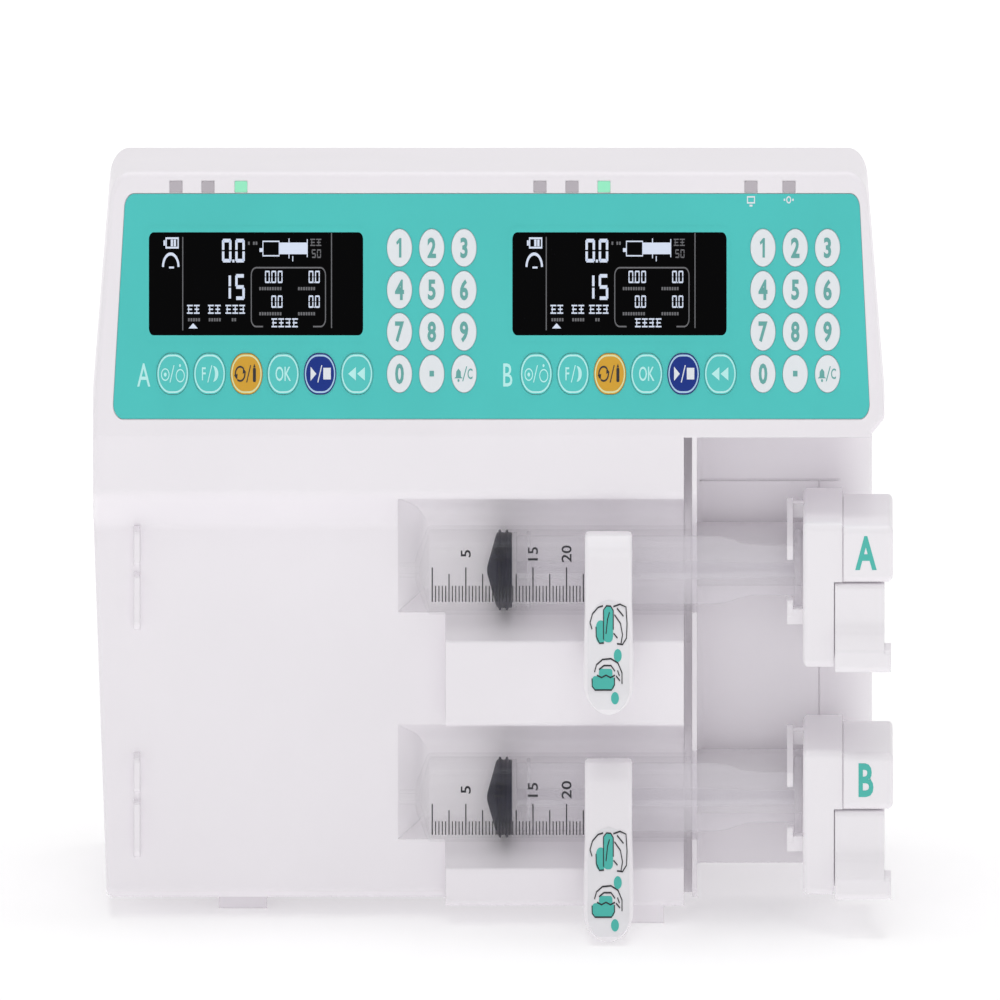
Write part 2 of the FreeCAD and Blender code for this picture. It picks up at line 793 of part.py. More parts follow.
def control_overlay():
    film = on_panel(pad("overlay_film", "XY_Plane", overlay_outline("0"),
                        "0 - overlay_thick", "overlay_thick"))
    holes = [
        key_shape(name + "_hole", across, up, is_number, "gap", "0 - 5", "10")
        for name, across, up, is_number in key_places()
    ]
    for name, shift in BLOCKS.items():
        window = block(f"overlay_window_{name}", ("0", "0", "0"),
                       ("display_width + 2 * gap", "display_height + 2 * gap", "10"))
        holes.append(on_panel(window, (f"display_a_x - gap + {shift}", "display_low - gap", "0 - 5")))
    return cut("control_overlay", film, holes)


def display_modules():
    made = []
    for name, shift in BLOCKS.items():
        glass = block(f"display_glass_{name}", ("0", "0", "0"),
                      ("display_width", "display_height", "display_depth"))
        on_panel(glass, (f"display_a_x + {shift}", "display_low", "0 - display_depth - 0.1"))
        frame = block(f"display_frame_{name}", ("0", "0", "0"),
                      ("display_width + 2 * frame_lap", "display_height + 2 * frame_lap", "5"))
        on_panel(frame, (f"display_a_x - frame_lap + {shift}", "display_low - frame_lap", "0 - 11.1"))
        made.append(fuse(f"display_module_{name}", [glass, frame]))
    return group("display_modules", made)


def indicator_lights():
    lights = []
    for i, left in enumerate(LIGHT_PLACES_X):
        light = block(f"light_{i}", ("0", "0", "0"), ("light_width", "light_height", "light_depth + 0.1"))
        lights.append(on_panel(light, (f"{left}", "light_low", "0 - light_depth")))
    return group("indicator_lights", lights)


# ---- syringes ----

def syringe_barrel(name, axis):
    skin = turned(f"barrel_{name}_turned", [
        ("nozzle_left_x", "nozzle_bore_r"),
        ("nozzle_left_x", "nozzle_r - 0.15"),
        ("barrel_left_x - 5.2", "nozzle_r"),
        ("barrel_left_x - 4.4", "nozzle_r + 2.4", "0.5"),
        ("barrel_left_x", "barrel_r", "1.2"),
        ("barrel_right_x", "barrel_r"),
        ("barrel_right_x", "barrel_bore_r"),
        ("barrel_left_x + 0.6", "barrel_bore_r", "0.8"),
        ("barrel_left_x - 3.2", "nozzle_bore_r"),
    ], "axis_y", axis)
    rim = cylinder(f"flange_disc_{name}", ("barrel_right_x", "axis_y", axis), "x", "flange_r", "flange_thick")
    flats = block(f"flange_flats_{name}",
                  ("barrel_right_x - 1", "axis_y - flange_half_depth", f"{axis} - 30"),
                  ("flange_thick + 2", "2 * flange_half_depth", "60"))
    bore = cylinder(f"flange_bore_{name}", ("barrel_right_x - 1", "axis_y", axis), "x", "barrel_bore_r",
                    "flange_thick + 2")
    flange = cut(f"flange_{name}", common(f"flange_plate_{name}", [rim, flats]), [bore])
    return fuse(f"barrel_{name}", [skin, flange])


def plunger(name, axis):
    """Cruciform rod with its thumb disc, and the rubber stopper on its end."""
    half = "rib_thick / 2"
    rib = [
        ("stopper_right_x + 2", f"0 - {half}"),
        ("thumb_disc_x", f"0 - {half}"),
        ("thumb_disc_x", half),
        ("stopper_right_x + 2", half),
    ]
    tall = [
        ("stopper_right_x + 2", "rib_tall"),
        ("92", "rib_tall", "8"),
        ("103", "rib_low", "8"),
        ("thumb_disc_x", "rib_low"),
        ("thumb_disc_x", "0 - rib_low"),
        ("103", "0 - rib_low", "8"),
        ("92", "0 - rib_tall", "8"),
        ("stopper_right_x + 2", "0 - rib_tall"),
    ]
    upright = pad(f"rib_upright_{name}", "XZ_Plane", tall, half, "rib_thick")
    level = pad(f"rib_level_{name}", "XY_Plane", tall, f"0 - {half}", "rib_thick")
    for body in (upright, level):
        place(body, ("0", "axis_y", axis))
    disc = cylinder(f"thumb_disc_{name}", ("thumb_disc_x", "axis_y", axis), "x", "thumb_disc_r",
                    "thumb_disc_thick")
    seat = cylinder(f"stopper_seat_{name}", ("stopper_right_x", "axis_y", axis), "x",
                    "barrel_bore_r - 0.7", "2")
    collar = cylinder(f"rod_collar_{name}", ("stopper_right_x + 6", "axis_y", axis), "x",
                      "barrel_bore_r - 0.4", "1.4")
    rod = fuse(f"plunger_rod_{name}", [upright, level, disc, seat, collar])
    seal = "barrel_bore_r - running_gap"
    waist = "barrel_bore_r - 0.8"
    stopper = turned(f"stopper_{name}", [
        ("stopper_left_x", "0"),
        ("stopper_left_x + 4", waist, "0.4"),
        ("stopper_left_x + 4.5", waist),
        ("stopper_left_x + 4.7", seal),
        ("stopper_left_x + 5.6", seal),
        ("stopper_left_x + 5.8", waist),
        ("stopper_left_x + 7.3", waist),
        ("stopper_left_x + 7.5", seal),
        ("stopper_left_x + 8.4", seal),
        ("stopper_left_x + 8.6", waist),
        ("stopper_right_x", waist),
        ("stopper_right_x", "0"),
    ], "axis_y", axis)
    return group(f"plunger_{name}", [rod, stopper])


# ---- pushers ----

def head_profile(axis, front, back, low, rise, round_front):
    return [
        (front, low, "2"),
        (front, f"{axis} + {rise}", round_front),
        (back, f"{axis} + {rise} + 0.6", "3"),
        (back, low, "2"),
    ]


def pusher_head(name, axis):
    full_low = f"{axis} - head_drop"
    block_low = f"{axis} + head_block_rise"
    plate = pad(f"head_plate_{name}", "YZ_Plane",
                head_profile(axis, "head_front_y", "head_back_y", full_low, "head_top_rise", "head_round"),
                "head_left_x", "head_seam_x - head_left_x")
    body = pad(f"head_block_{name}", "YZ_Plane",
               head_profile(axis, "head_front_y - 1", "head_back_y - 6", block_low, "head_top_rise - 0.6",
                            "head_round"),
               "head_seam_x", "head_right_x - head_seam_x")
    backing = pad(f"head_backing_{name}", "YZ_Plane",
                  head_profile(axis, "head_front_y + 15", "head_back_y - 6", f"{full_low} + 2",
                               "head_block_rise + 3", "1"),
                  "head_seam_x - 2", "16")
    lever_room = block(f"lever_room_{name}", ("head_waist_x", "head_front_y - 5", f"{full_low} - 1"),
                       ("10", "19", f"head_drop + head_block_rise + 1"))
    disc_room = cylinder(f"disc_room_{name}", ("head_left_x - 5", "axis_y", axis), "x",
                         "thumb_disc_r + 1", "5.6")
    seam = block(f"head_seam_{name}", ("head_seam_x - 0.25", "head_front_y - 5", block_low),
                 ("0.5", "5.8", "30"))
    top_seam = block(f"head_top_seam_{name}", ("head_seam_x - 0.25", "head_front_y - 5",
                                               f"{axis} + head_top_rise - 1"), ("0.5", "70", "5"))
    whole = fuse(f"head_whole_{name}", [plate, body, backing])
    carved = cut(f"head_carved_{name}", whole, [lever_room, disc_room, seam, top_seam])
    softened = soften(f"head_soft_{name}", carved, "2", lambda edge: is_head_side(edge, axis))
    upper_claw = pad(f"upper_claw_{name}", "YZ_Plane", [
        ("axis_y + 15", f"{axis} + 17", "1"),
        ("axis_y + 8", f"{axis} + 17", "1"),
        ("axis_y - 12", f"{axis} + 8.2", "1.4"),
        ("axis_y - 12", f"{axis} + 4.6", "1.4"),
        ("axis_y - 8.5", f"{axis} + 4.6", "1"),
        ("axis_y + 15", f"{axis} + 12.4", "1"),
    ], "thumb_disc_x - claw_ahead", "claw_thick")
    upper_post = block(f"upper_post_{name}", ("thumb_disc_x - claw_ahead", "axis_y + 8.6", f"{axis} + 12.6"),
                       ("head_left_x - thumb_disc_x + claw_ahead + 0.6", "5.4", "3.8"))
    lower_claw = pad(f"lower_claw_{name}", "YZ_Plane", [
        ("axis_y - 13.5", f"{axis} - 11", "1.2"),
        ("axis_y - 5.5", f"{axis} - 11", "1.2"),
        ("axis_y - 5.5", f"{axis} - 6", "1.2"),
        ("axis_y - 13.5", f"{axis} - 6", "1.2"),
    ], "thumb_disc_x - claw_ahead", "claw_thick")
    lower_post = block(f"lower_post_{name}", ("thumb_disc_x - claw_ahead", "axis_y - 13.4", f"{axis} - 12.4"),
                       ("head_left_x - thumb_disc_x + claw_ahead + 0.6", "5", "4.2"))
    return fuse(f"pusher_head_{name}", [softened, upper_claw, upper_post, lower_claw, lower_post])


def is_head_side(edge, axis):
    """The upright front edges at the two outer sides of the head."""
    box = edge.BoundBox
    at_side = abs(box.XMin - number("head_right_x")) < 0.01 or abs(box.XMin - number("head_left_x")) < 0.01
    at_front = box.YMax < number("head_front_y") + 1
    return at_side and at_front and box.XLength < 0.01 and box.ZLength > 8


def release_lever(name, axis):
    low = f"{axis} - head_drop"
    top = f"{axis} + head_block_rise - 0.5"
    plate = pad(f"lever_plate_{name}", "YZ_Plane", [
        ("head_front_y + 14", f"{low} + 0.5"),
        ("head_front_y + 14", top, "2"),
        ("head_front_y - 0.4", top, "1.5"),
        ("head_front_y - 0.4", f"{low} + 11", "6"),
        ("head_front_y - 6", f"{low} + 5.5", "1.5"),
        ("head_front_y - 6", f"{low} - 0.4", "2"),
        ("head_front_y + 3", f"{low} - 0.4"),
    ], "lever_left_x", "lever_right_x - lever_left_x")
    lip = pad(f"lever_lip_{name}", "YZ_Plane", [
        ("head_front_y + 4", f"{low} + 2"),
        ("head_front_y + 1", f"{low} + 7", "2"),
        ("head_front_y - 6", f"{low} + 5.5", "1.5"),
        ("head_front_y - 6", f"{low} - 0.4", "2"),
        ("head_front_y + 3", f"{low} - 0.4"),
    ], "lever_left_x + 0.4", "lever_right_x - lever_left_x + 2.2")
    return fuse(f"release_lever_{name}", [plate, lip])


def push_tube(name, axis):
    """The hollow tube that carries a head, and the carriage with its half-nut inside the housing."""
    wall = cylinder(f"tube_wall_{name}", ("tube_left_x - 2", "tube_y", axis), "x", "tube_r",
                    "head_left_x - tube_left_x + 2")
    bore = cylinder(f"tube_bore_{name}", ("tube_left_x + 2", "tube_y", axis), "x", "tube_bore_r", "200")
    tube = cut(f"tube_{name}", wall, [bore])
    carriage = pad(f"carriage_{name}", "YZ_Plane", [
        ("tube_y - tube_r", f"{axis} - 12", "3"),
        ("screw_y + 8", f"{axis} - guide_drop - 7", "3"),
        ("screw_y + 8", f"{axis} + 8", "3"),
        ("tube_y - tube_r", f"{axis} + 10", "3"),
    ], "carriage_left_x", "carriage_length")
    screw_hole = cylinder(f"nut_hole_{name}", ("carriage_left_x - 1", "screw_y", axis), "x",
                          "screw_r + running_gap", "60")
    guide_hole = cylinder(f"guide_hole_{name}",
                          ("carriage_left_x - 1", "screw_y", f"{axis} - guide_drop"), "x",
                          "guide_r + running_gap", "60")
    return cut(f"push_tube_{name}", fuse(f"tube_and_carriage_{name}", [tube, carriage]),
               [screw_hole, guide_hole])


def lead_screw(name, axis):
    """Screw, shaft coupling and motor shaft, which turn as one."""
    return turned(f"lead_screw_{name}", [
        ("bulkhead_left_x - 6", "0"),
        ("bulkhead_left_x - 6", "2.5"),
        ("bulkhead_left_x + bulkhead_thick + 0.6", "2.5"),
        ("bulkhead_left_x + bulkhead_thick + 0.6", "6", "0.6"),
        ("screw_left_x", "6", "0.6"),
        ("screw_left_x", "screw_r"),
        ("bulkhead_right_x - 0.3", "screw_r"),
        ("bulkhead_right_x - 0.3", "journal_r"),
        ("bulkhead_right_x + bulkhead_thick", "journal_r"),
        ("bulkhead_right_x + bulkhead_thick", "0"),
    ], "screw_y", axis)


def drive_frame():
    """Two bulkheads joined by a back plate, with the guide rods of both carriages."""
    low, tall = "14", "96"
    left = block("bulkhead_left", ("bulkhead_left_x", "front_y + 33", low), ("bulkhead_thick", "24", tall))
    right = block("bulkhead_right", ("bulkhead_right_x", "front_y + 33", low), ("bulkhead_thick", "24", tall))
    back = block("back_plate", ("bulkhead_left_x", "front_y + 55.4", low),
                 ("bulkhead_right_x - bulkhead_left_x + bulkhead_thick", "1.6", tall))
    solids = [left, right, back]
    holes = []
    for name, axis in CHANNELS.items():
        solids.append(cylinder(f"guide_rod_{name}",
                               ("bulkhead_left_x", "screw_y", f"{axis} - guide_drop"), "x",
                               "guide_r", "bulkhead_right_x - bulkhead_left_x + 1"))
        holes.append(cylinder(f"left_bearing_{name}", ("bulkhead_left_x - 1", "screw_y", axis), "x",
                              "2.5 + running_gap", "bulkhead_thick + 2"))
        holes.append(cylinder(f"right_bearing_{name}", ("bulkhead_right_x - 1", "screw_y", axis), "x",
                              "journal_r + running_gap", "bulkhead_thick + 2"))
    return cut("drive_frame", fuse("drive_frame_solid", solids), holes)


def drive_motors():
    motors = []
    for name, axis in CHANNELS.items():
        can = pad(f"motor_can_{name}", "YZ_Plane", [
            ("screw_y - motor_size / 2", f"{axis} - motor_size / 2", "4"),
            ("screw_y + motor_size / 2", f"{axis} - motor_size / 2", "4"),
            ("screw_y + motor_size / 2", f"{axis} + motor_size / 2", "4"),
            ("screw_y - motor_size / 2", f"{axis} + motor_size / 2", "4"),
        ], "bulkhead_left_x - motor_length", "motor_length")
        hole = cylinder(f"motor_hole_{name}", ("bulkhead_left_x - 8", "screw_y", axis), "x",
                        "2.5 + running_gap", "20")
        motors.append(cut(f"motor_{name}", can, [hole]))
    return group("drive_motors", motors)


def power_unit():
    """Mains inlet, supply board and battery, fixed inside the rear housing."""
    back = "front_y + housing_depth"
    shell = block("inlet_shell", ("inlet_x - inlet_width / 2", f"{back} - 22", "inlet_z - inlet_height / 2"),
                  ("inlet_width", "21.6", "inlet_height"))
    lip = block("inlet_lip",
                ("inlet_x - inlet_width / 2 - 2", f"{back} - 4.6", "inlet_z - inlet_height / 2 - 2"),
                ("inlet_width + 4", "2", "inlet_height + 4"))
    well = block("inlet_well",
                 ("inlet_x - inlet_width / 2 + 2", f"{back} - 16", "inlet_z - inlet_height / 2 + 2"),
                 ("inlet_width - 4", "20", "inlet_height - 4"))
    pins = [
        block(f"inlet_pin_{i}", (f"inlet_x + {x} - 1", f"{back} - 17", f"inlet_z + {z} - 2"),
              ("2", "12", "4"))
        for i, (x, z) in enumerate(((-7, -2), (0, 2), (7, -2)))
    ]
    inlet = fuse("inlet", [cut("inlet_hollow", fuse("inlet_outside", [shell, lip]), [well]), *pins])
    board = block("supply_board", ("0 - 140", "front_y + 82", "30"), ("75", "1.6", "90"))
    battery = block("battery", ("0 - 60", "front_y + 66", "12"), ("110", "36", "46"))
    logic = block("logic_board", ("0 - 120", "front_y + 68", "128"), ("230", "1.6", "44"))
    return group("power_unit", [inlet, board, battery, logic])


# ---- barrel clamps ----

def clamp_arm(name, axis):
    """A barrel clamp's arm: flat behind, and in front a paddle that stands further out towards its tip."""
    half = "clamp_half_width"
    face = pad(f"clamp_face_{name}", "XZ_Plane", [
        (f"clamp_x - {half}", f"{axis} + clamp_top_rise", "1"),
        (f"clamp_x + {half}", f"{axis} + clamp_top_rise", "1"),
        (f"clamp_x + {half}", f"{axis} - clamp_tip_drop + 15", "12"),
        (f"clamp_x + {half} - 2.4", f"{axis} - clamp_tip_drop", "7.4"),
        (f"clamp_x - {half} + 2.4", f"{axis} - clamp_tip_drop", "7.4"),
        (f"clamp_x - {half}", f"{axis} - clamp_tip_drop + 15", "12"),
    ], "clamp_back_y", "clamp_back_y - clamp_tip_y")
    side = pad(f"clamp_side_{name}", "YZ_Plane", [
        ("clamp_back_y", f"{axis} + clamp_top_rise", "1"),
        ("clamp_back_y", f"{axis} - clamp_drop - 6", "8"),
        ("clamp_tip_y + 8", f"{axis} - clamp_tip_drop", "6"),
        ("clamp_tip_y", f"{axis} - clamp_tip_drop + 1", "2"),
        ("clamp_tip_y", f"{axis} - clamp_tip_drop + 5", "6"),
        ("clamp_back_y - clamp_top_depth - 6", f"{axis} - 4", "30"),
        ("clamp_back_y - clamp_top_depth", f"{axis} + clamp_top_rise - 3", "2"),
        ("clamp_back_y - clamp_top_depth + 4", f"{axis} + clamp_top_rise", "1"),
    ], "clamp_x - clamp_half_width - 2", "2 * clamp_half_width + 4")
    arm = common(f"clamp_arm_blank_{name}", [face, side])
    hole = cylinder(f"clamp_socket_{name}", ("clamp_x", "clamp_back_y - 9", f"{axis} - clamp_drop"), "y",
                    "shaft_r + running_gap", "20")
    return cut(f"clamp_arm_{name}", arm, [hole])


def clamp_shaft(name, axis):
    """The sliding shaft that a clamp arm turns on, with the disc that its spring bears on."""
    level = f"{axis} - clamp_drop"
    stem = cylinder(f"shaft_stem_{name}", ("clamp_x", "clamp_back_y - 8", level), "y", "shaft_r",
                    "shaft_length + 8")
    disc = cylinder(f"shaft_disc_{name}", ("clamp_x", "clamp_back_y + shaft_length - 3", level), "y",
                    "shaft_r + 0.4", "2")
    return fuse(f"clamp_shaft_{name}", [stem, disc])


# ---- the whole pump ----

def build():
    fill_sheet()
    hull, shelves = housing_outer()
    cavity = housing_cavity("inner_space")
    made = [
        front_housing(hull, shelves, cavity),
        rear_housing(hull, cavity),
        housing_screws(),
        control_overlay(),
        display_modules(),
        indicator_lights(),
        group("syringe_barrels", [syringe_barrel(name, axis) for name, axis in CHANNELS.items()]),
        drive_frame(),
        drive_motors(),
        power_unit(),
    ]
    for name, axis in CHANNELS.items():
        made += [
            pusher_head(name, axis),
            release_lever(name, axis),
            push_tube(name, axis),
            plunger(name, axis),
            lead_screw(name, axis),
            clamp_arm(name, axis),
            clamp_shaft(name, axis),
        ]
    return made + keys()


def check_and_write(made):
    doc.recompute()
    for item in doc.Objects:
        if "Invalid" in item.State or "Error" in item.State:
            raise RuntimeError(f"{item.Label} did not build: {item.State}")
    os.makedirs("parts", exist_ok=True)
    for item in made:
        if item.Shape.isNull() or not item.Shape.isValid():
            raise RuntimeError(f"{item.Label} has no valid shape")
        item.Shape.exportStep(f"parts/{item.Label}.step")
    print(len(made), "nodes written")


check_and_write(build())
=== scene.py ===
import math

import bmesh
import bpy
from mathutils import Matrix, Vector


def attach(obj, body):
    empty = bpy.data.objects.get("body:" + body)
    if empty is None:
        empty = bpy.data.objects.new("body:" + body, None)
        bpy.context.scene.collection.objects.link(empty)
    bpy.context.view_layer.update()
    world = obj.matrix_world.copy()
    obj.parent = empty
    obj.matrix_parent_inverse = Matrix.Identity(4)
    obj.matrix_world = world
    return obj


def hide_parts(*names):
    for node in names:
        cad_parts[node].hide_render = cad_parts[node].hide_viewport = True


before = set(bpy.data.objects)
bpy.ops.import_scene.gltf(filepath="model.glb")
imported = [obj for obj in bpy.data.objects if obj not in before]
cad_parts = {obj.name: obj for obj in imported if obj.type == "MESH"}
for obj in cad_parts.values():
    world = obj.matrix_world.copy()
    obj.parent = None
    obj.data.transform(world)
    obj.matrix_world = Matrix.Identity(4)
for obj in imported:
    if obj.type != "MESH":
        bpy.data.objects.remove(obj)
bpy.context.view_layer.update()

# Everything below is drawn in millimetres and scaled to metres as it is built.
MM = 0.001

CHANNEL_Z = {"a": 94.5, "b": 33.0}
BLOCK_X = {"a": 0.0, "b": 145.4}
AXIS_Y = -39.1

# The tilted control panel: its origin is the middle of the overlay's lower edge.
TILT = math.radians(10)
PANEL_Y, PANEL_Z = -48.0, 137.0
DISPLAY_X, DISPLAY_W, DISPLAY_LOW, DISPLAY_H = -138.0, 86.4, 21.9, 28.2
KEY_PROUD = 0.4
NUMBER_X, NUMBER_PITCH = -37.4, 12.9
FUNCTION_X, FUNCTION_PITCH = -128.1, 14.73
ROW_LOW, ROW_PITCH = 12.0, 11.2

BARREL_R, BORE_R = 11.9, 10.85
PRINT_TURN = {"a": 0.0, "b": 12.0}      # how far each syringe is turned about its axis, in degrees
HEAD_FRONT_Y = -63.0
CLAMP_X = 46.2

# Printed marks stand off their surface between these two heights.
INK_LOW, INK_HIGH = 0.01, 0.05


# ---- materials ----

def new_material(name):
    made = bpy.data.materials.new(name)
    made.use_nodes = True
    nodes = made.node_tree.nodes
    return made, nodes, made.node_tree.links, nodes["Principled BSDF"]


def surface(name, color, rough, mottle=0.03, grain=0.05, grain_scale=1400.0, edge=0.0, specular=0.5,
            coat=0.0, metal=0.0, glow=0.0):
    """A solid surface: slow colour and gloss variation, a fine moulded grain, and softened edges."""
    made, nodes, links, shader = new_material(name)
    shader.inputs["Metallic"].default_value = metal
    shader.inputs["Specular IOR Level"].default_value = specular
    shader.inputs["Coat Weight"].default_value = coat
    shader.inputs["Coat Roughness"].default_value = 0.12
    place = nodes.new("ShaderNodeTexCoord")
    slow = nodes.new("ShaderNodeTexNoise")
    slow.inputs["Scale"].default_value = 22.0
    slow.inputs["Detail"].default_value = 4.0
    links.new(place.outputs["Object"], slow.inputs["Vector"])
    tint = nodes.new("ShaderNodeValToRGB")
    low = [max(0.0, c * (1 - mottle)) for c in color]
    high = [min(1.0, c * (1 + mottle)) for c in color]
    tint.color_ramp.elements[0].position, tint.color_ramp.elements[1].position = 0.3, 0.7
    tint.color_ramp.elements[0].color = (*low, 1)
    tint.color_ramp.elements[1].color = (*high, 1)
    links.new(slow.outputs["Fac"], tint.inputs["Fac"])
    links.new(tint.outputs["Color"], shader.inputs["Base Color"])
    gloss = nodes.new("ShaderNodeMapRange")
    gloss.inputs["To Min"].default_value = max(0.02, rough - 0.05)
    gloss.inputs["To Max"].default_value = min(1.0, rough + 0.05)
    links.new(slow.outputs["Fac"], gloss.inputs["Value"])
    links.new(gloss.outputs["Result"], shader.inputs["Roughness"])
    fine = nodes.new("ShaderNodeTexNoise")
    fine.inputs["Scale"].default_value = grain_scale
    fine.inputs["Detail"].default_value = 2.0
    links.new(place.outputs["Object"], fine.inputs["Vector"])
    bump = nodes.new("ShaderNodeBump")
    bump.inputs["Strength"].default_value = grain
    bump.inputs["Distance"].default_value = 0.0003
    links.new(fine.outputs["Fac"], bump.inputs["Height"])
    if edge:
        soft = nodes.new("ShaderNodeBevel")
        soft.samples = 4
        soft.inputs["Radius"].default_value = edge * MM
        links.new(soft.outputs["Normal"], bump.inputs["Normal"])
    links.new(bump.outputs["Normal"], shader.inputs["Normal"])
    if glow:
        shader.inputs["Emission Color"].default_value = (*color, 1)
        shader.inputs["Emission Strength"].default_value = glow
    return made


def clear_plastic(name, color, milk, rough=0.08):
    """A thin clear wall: it lets light straight through, with a gloss and a little milkiness."""
    made, nodes, links, shader = new_material(name)
    nodes.remove(shader)
    out = nodes["Material Output"]
    through = nodes.new("ShaderNodeBsdfTransparent")
    through.inputs["Color"].default_value = (*color, 1)
    body = nodes.new("ShaderNodeBsdfDiffuse")
    body.inputs["Color"].default_value = (*color, 1)
    gloss = nodes.new("ShaderNodeBsdfGlossy")
    gloss.inputs["Roughness"].default_value = rough
    place = nodes.new("ShaderNodeTexCoord")
    cloud = nodes.new("ShaderNodeTexNoise")
    cloud.inputs["Scale"].default_value = 60.0
    links.new(place.outputs["Object"], cloud.inputs["Vector"])
    haze = nodes.new("ShaderNodeMapRange")
    haze.inputs["To Min"].default_value = milk * 0.85
    haze.inputs["To Max"].default_value = milk * 1.15
    links.new(cloud.outputs["Fac"], haze.inputs["Value"])
    milky = nodes.new("ShaderNodeMixShader")
    links.new(haze.outputs["Result"], milky.inputs["Fac"])
    links.new(through.outputs["BSDF"], milky.inputs[1])
    links.new(body.outputs["BSDF"], milky.inputs[2])
    grazing = nodes.new("ShaderNodeLayerWeight")
    grazing.inputs["Blend"].default_value = 0.2
    shine = nodes.new("ShaderNodeMapRange")
    shine.inputs["To Min"].default_value = 0.004
    shine.inputs["To Max"].default_value = 0.22
    links.new(grazing.outputs["Facing"], shine.inputs["Value"])
    glossy = nodes.new("ShaderNodeMixShader")
    links.new(shine.outputs["Result"], glossy.inputs["Fac"])
    links.new(milky.outputs["Shader"], glossy.inputs[1])
    links.new(gloss.outputs["BSDF"], glossy.inputs[2])
    links.new(glossy.outputs["Shader"], out.inputs["Surface"])
    return made


# Both housing plastics glow faintly: painted light that lifts the shade in creases, troughs and recesses.
PLASTIC = surface("moulded_white", (0.875, 0.845, 0.880), 0.42, mottle=0.012, grain=0.06, edge=0.45,
                  glow=0.05)
PLASTIC_BRIGHT = surface("moulded_white_gloss", (0.885, 0.86, 0.89), 0.30, mottle=0.01, grain=0.03, edge=0.35,
                         glow=0.05)
OVERLAY = surface("overlay_teal", (0.066, 0.600, 0.565), 0.36, mottle=0.03, grain=0.04, specular=0.45)
GLASS = surface("display_black", (0.0006, 0.0006, 0.0008), 0.16, mottle=0.1, grain=0.0, specular=0.03)
SEGMENT = surface("display_segments", (0.56, 0.62, 0.74), 0.4, mottle=0.03, grain=0.0, glow=0.30)
SEGMENT_DIM = surface("display_segments_dim", (0.12, 0.12, 0.13), 0.4, mottle=0.05, grain=0.0, glow=0.10)
LIGHT_OFF = surface("light_off", (0.50, 0.46, 0.50), 0.25, mottle=0.05, grain=0.02, coat=0.3)
LIGHT_ON = surface("light_on", (0.26, 0.74, 0.48), 0.25, mottle=0.05, grain=0.02, glow=0.25)
KEY_WHITE = surface("key_white", (0.84, 0.88, 0.91), 0.30, mottle=0.012, grain=0.03, specular=0.5)
KEY_TEAL = surface("key_teal", (0.078, 0.610, 0.575), 0.32, mottle=0.02, grain=0.03)
KEY_ORANGE = surface("key_orange", (0.70, 0.37, 0.010), 0.30, mottle=0.03, grain=0.03)
KEY_BLUE = surface("key_blue", (0.003, 0.028, 0.25), 0.42, mottle=0.04, grain=0.03, specular=0.25)
INK_CYAN = surface("ink_pale_cyan", (0.52, 0.94, 0.91), 0.4, mottle=0.02, grain=0.02)
INK_GREY = surface("ink_grey_teal", (0.13, 0.42, 0.39), 0.45, mottle=0.04, grain=0.02)
INK_WHITE = surface("ink_white", (0.82, 0.86, 0.90), 0.4, mottle=0.02, grain=0.02)
INK_BLACK = surface("ink_black", (0.014, 0.014, 0.020), 0.45, mottle=0.1, grain=0.02)
INK_TEAL = surface("ink_teal", (0.07, 0.52, 0.45), 0.45, mottle=0.04, grain=0.02)
RUBBER = surface("stopper_rubber", (0.010, 0.010, 0.026), 0.6, mottle=0.15, grain=0.25, grain_scale=900.0,
                 specular=0.2)
STEEL = surface("ground_steel", (0.55, 0.55, 0.57), 0.28, mottle=0.05, grain=0.12, grain_scale=700.0,
                metal=1.0)
TUBE = surface("tube_coating", (0.74, 0.715, 0.745), 0.34, mottle=0.015, grain=0.03)
ALUMINIUM = surface("milled_aluminium", (0.66, 0.66, 0.68), 0.36, mottle=0.05, grain=0.15, metal=1.0)
MOTOR = surface("motor_paint", (0.03, 0.03, 0.034), 0.45, mottle=0.1, grain=0.2)
NYLON = surface("inlet_nylon", (0.016, 0.016, 0.018), 0.42, mottle=0.1, grain=0.15, edge=0.3)
STICKER = surface("sticker_film", (0.86, 0.85, 0.88), 0.22, mottle=0.008, grain=0.0, coat=0.3)
BARREL = clear_plastic("barrel_clear", (0.999, 0.999, 0.999), 0.012)
ROD = clear_plastic("rod_translucent", (0.985, 0.98, 0.99), 0.14, 0.16)


# ---- places: each turns drawing coordinates into a point of the part's frame ----

def on_panel(across, up, out):
    return Vector((
        across,
        PANEL_Y + up * math.sin(TILT) - out * math.cos(TILT),
        PANEL_Z + up * math.cos(TILT) + out * math.sin(TILT),
    ))


def on_barrel(axis_z):
    """Drawing coordinates: x, the angle up from straight ahead in degrees, and the height off the barrel."""
    def place(x, angle, out):
        a = math.radians(angle)
        r = BARREL_R + out
        return Vector((x, AXIS_Y - r * math.cos(a), axis_z + r * math.sin(a)))
    return place


def shifted(place, across, up=0.0, out=0.0):
    return lambda u, v, w: place(u + across, v + up, w + out)


# ---- mesh building ----

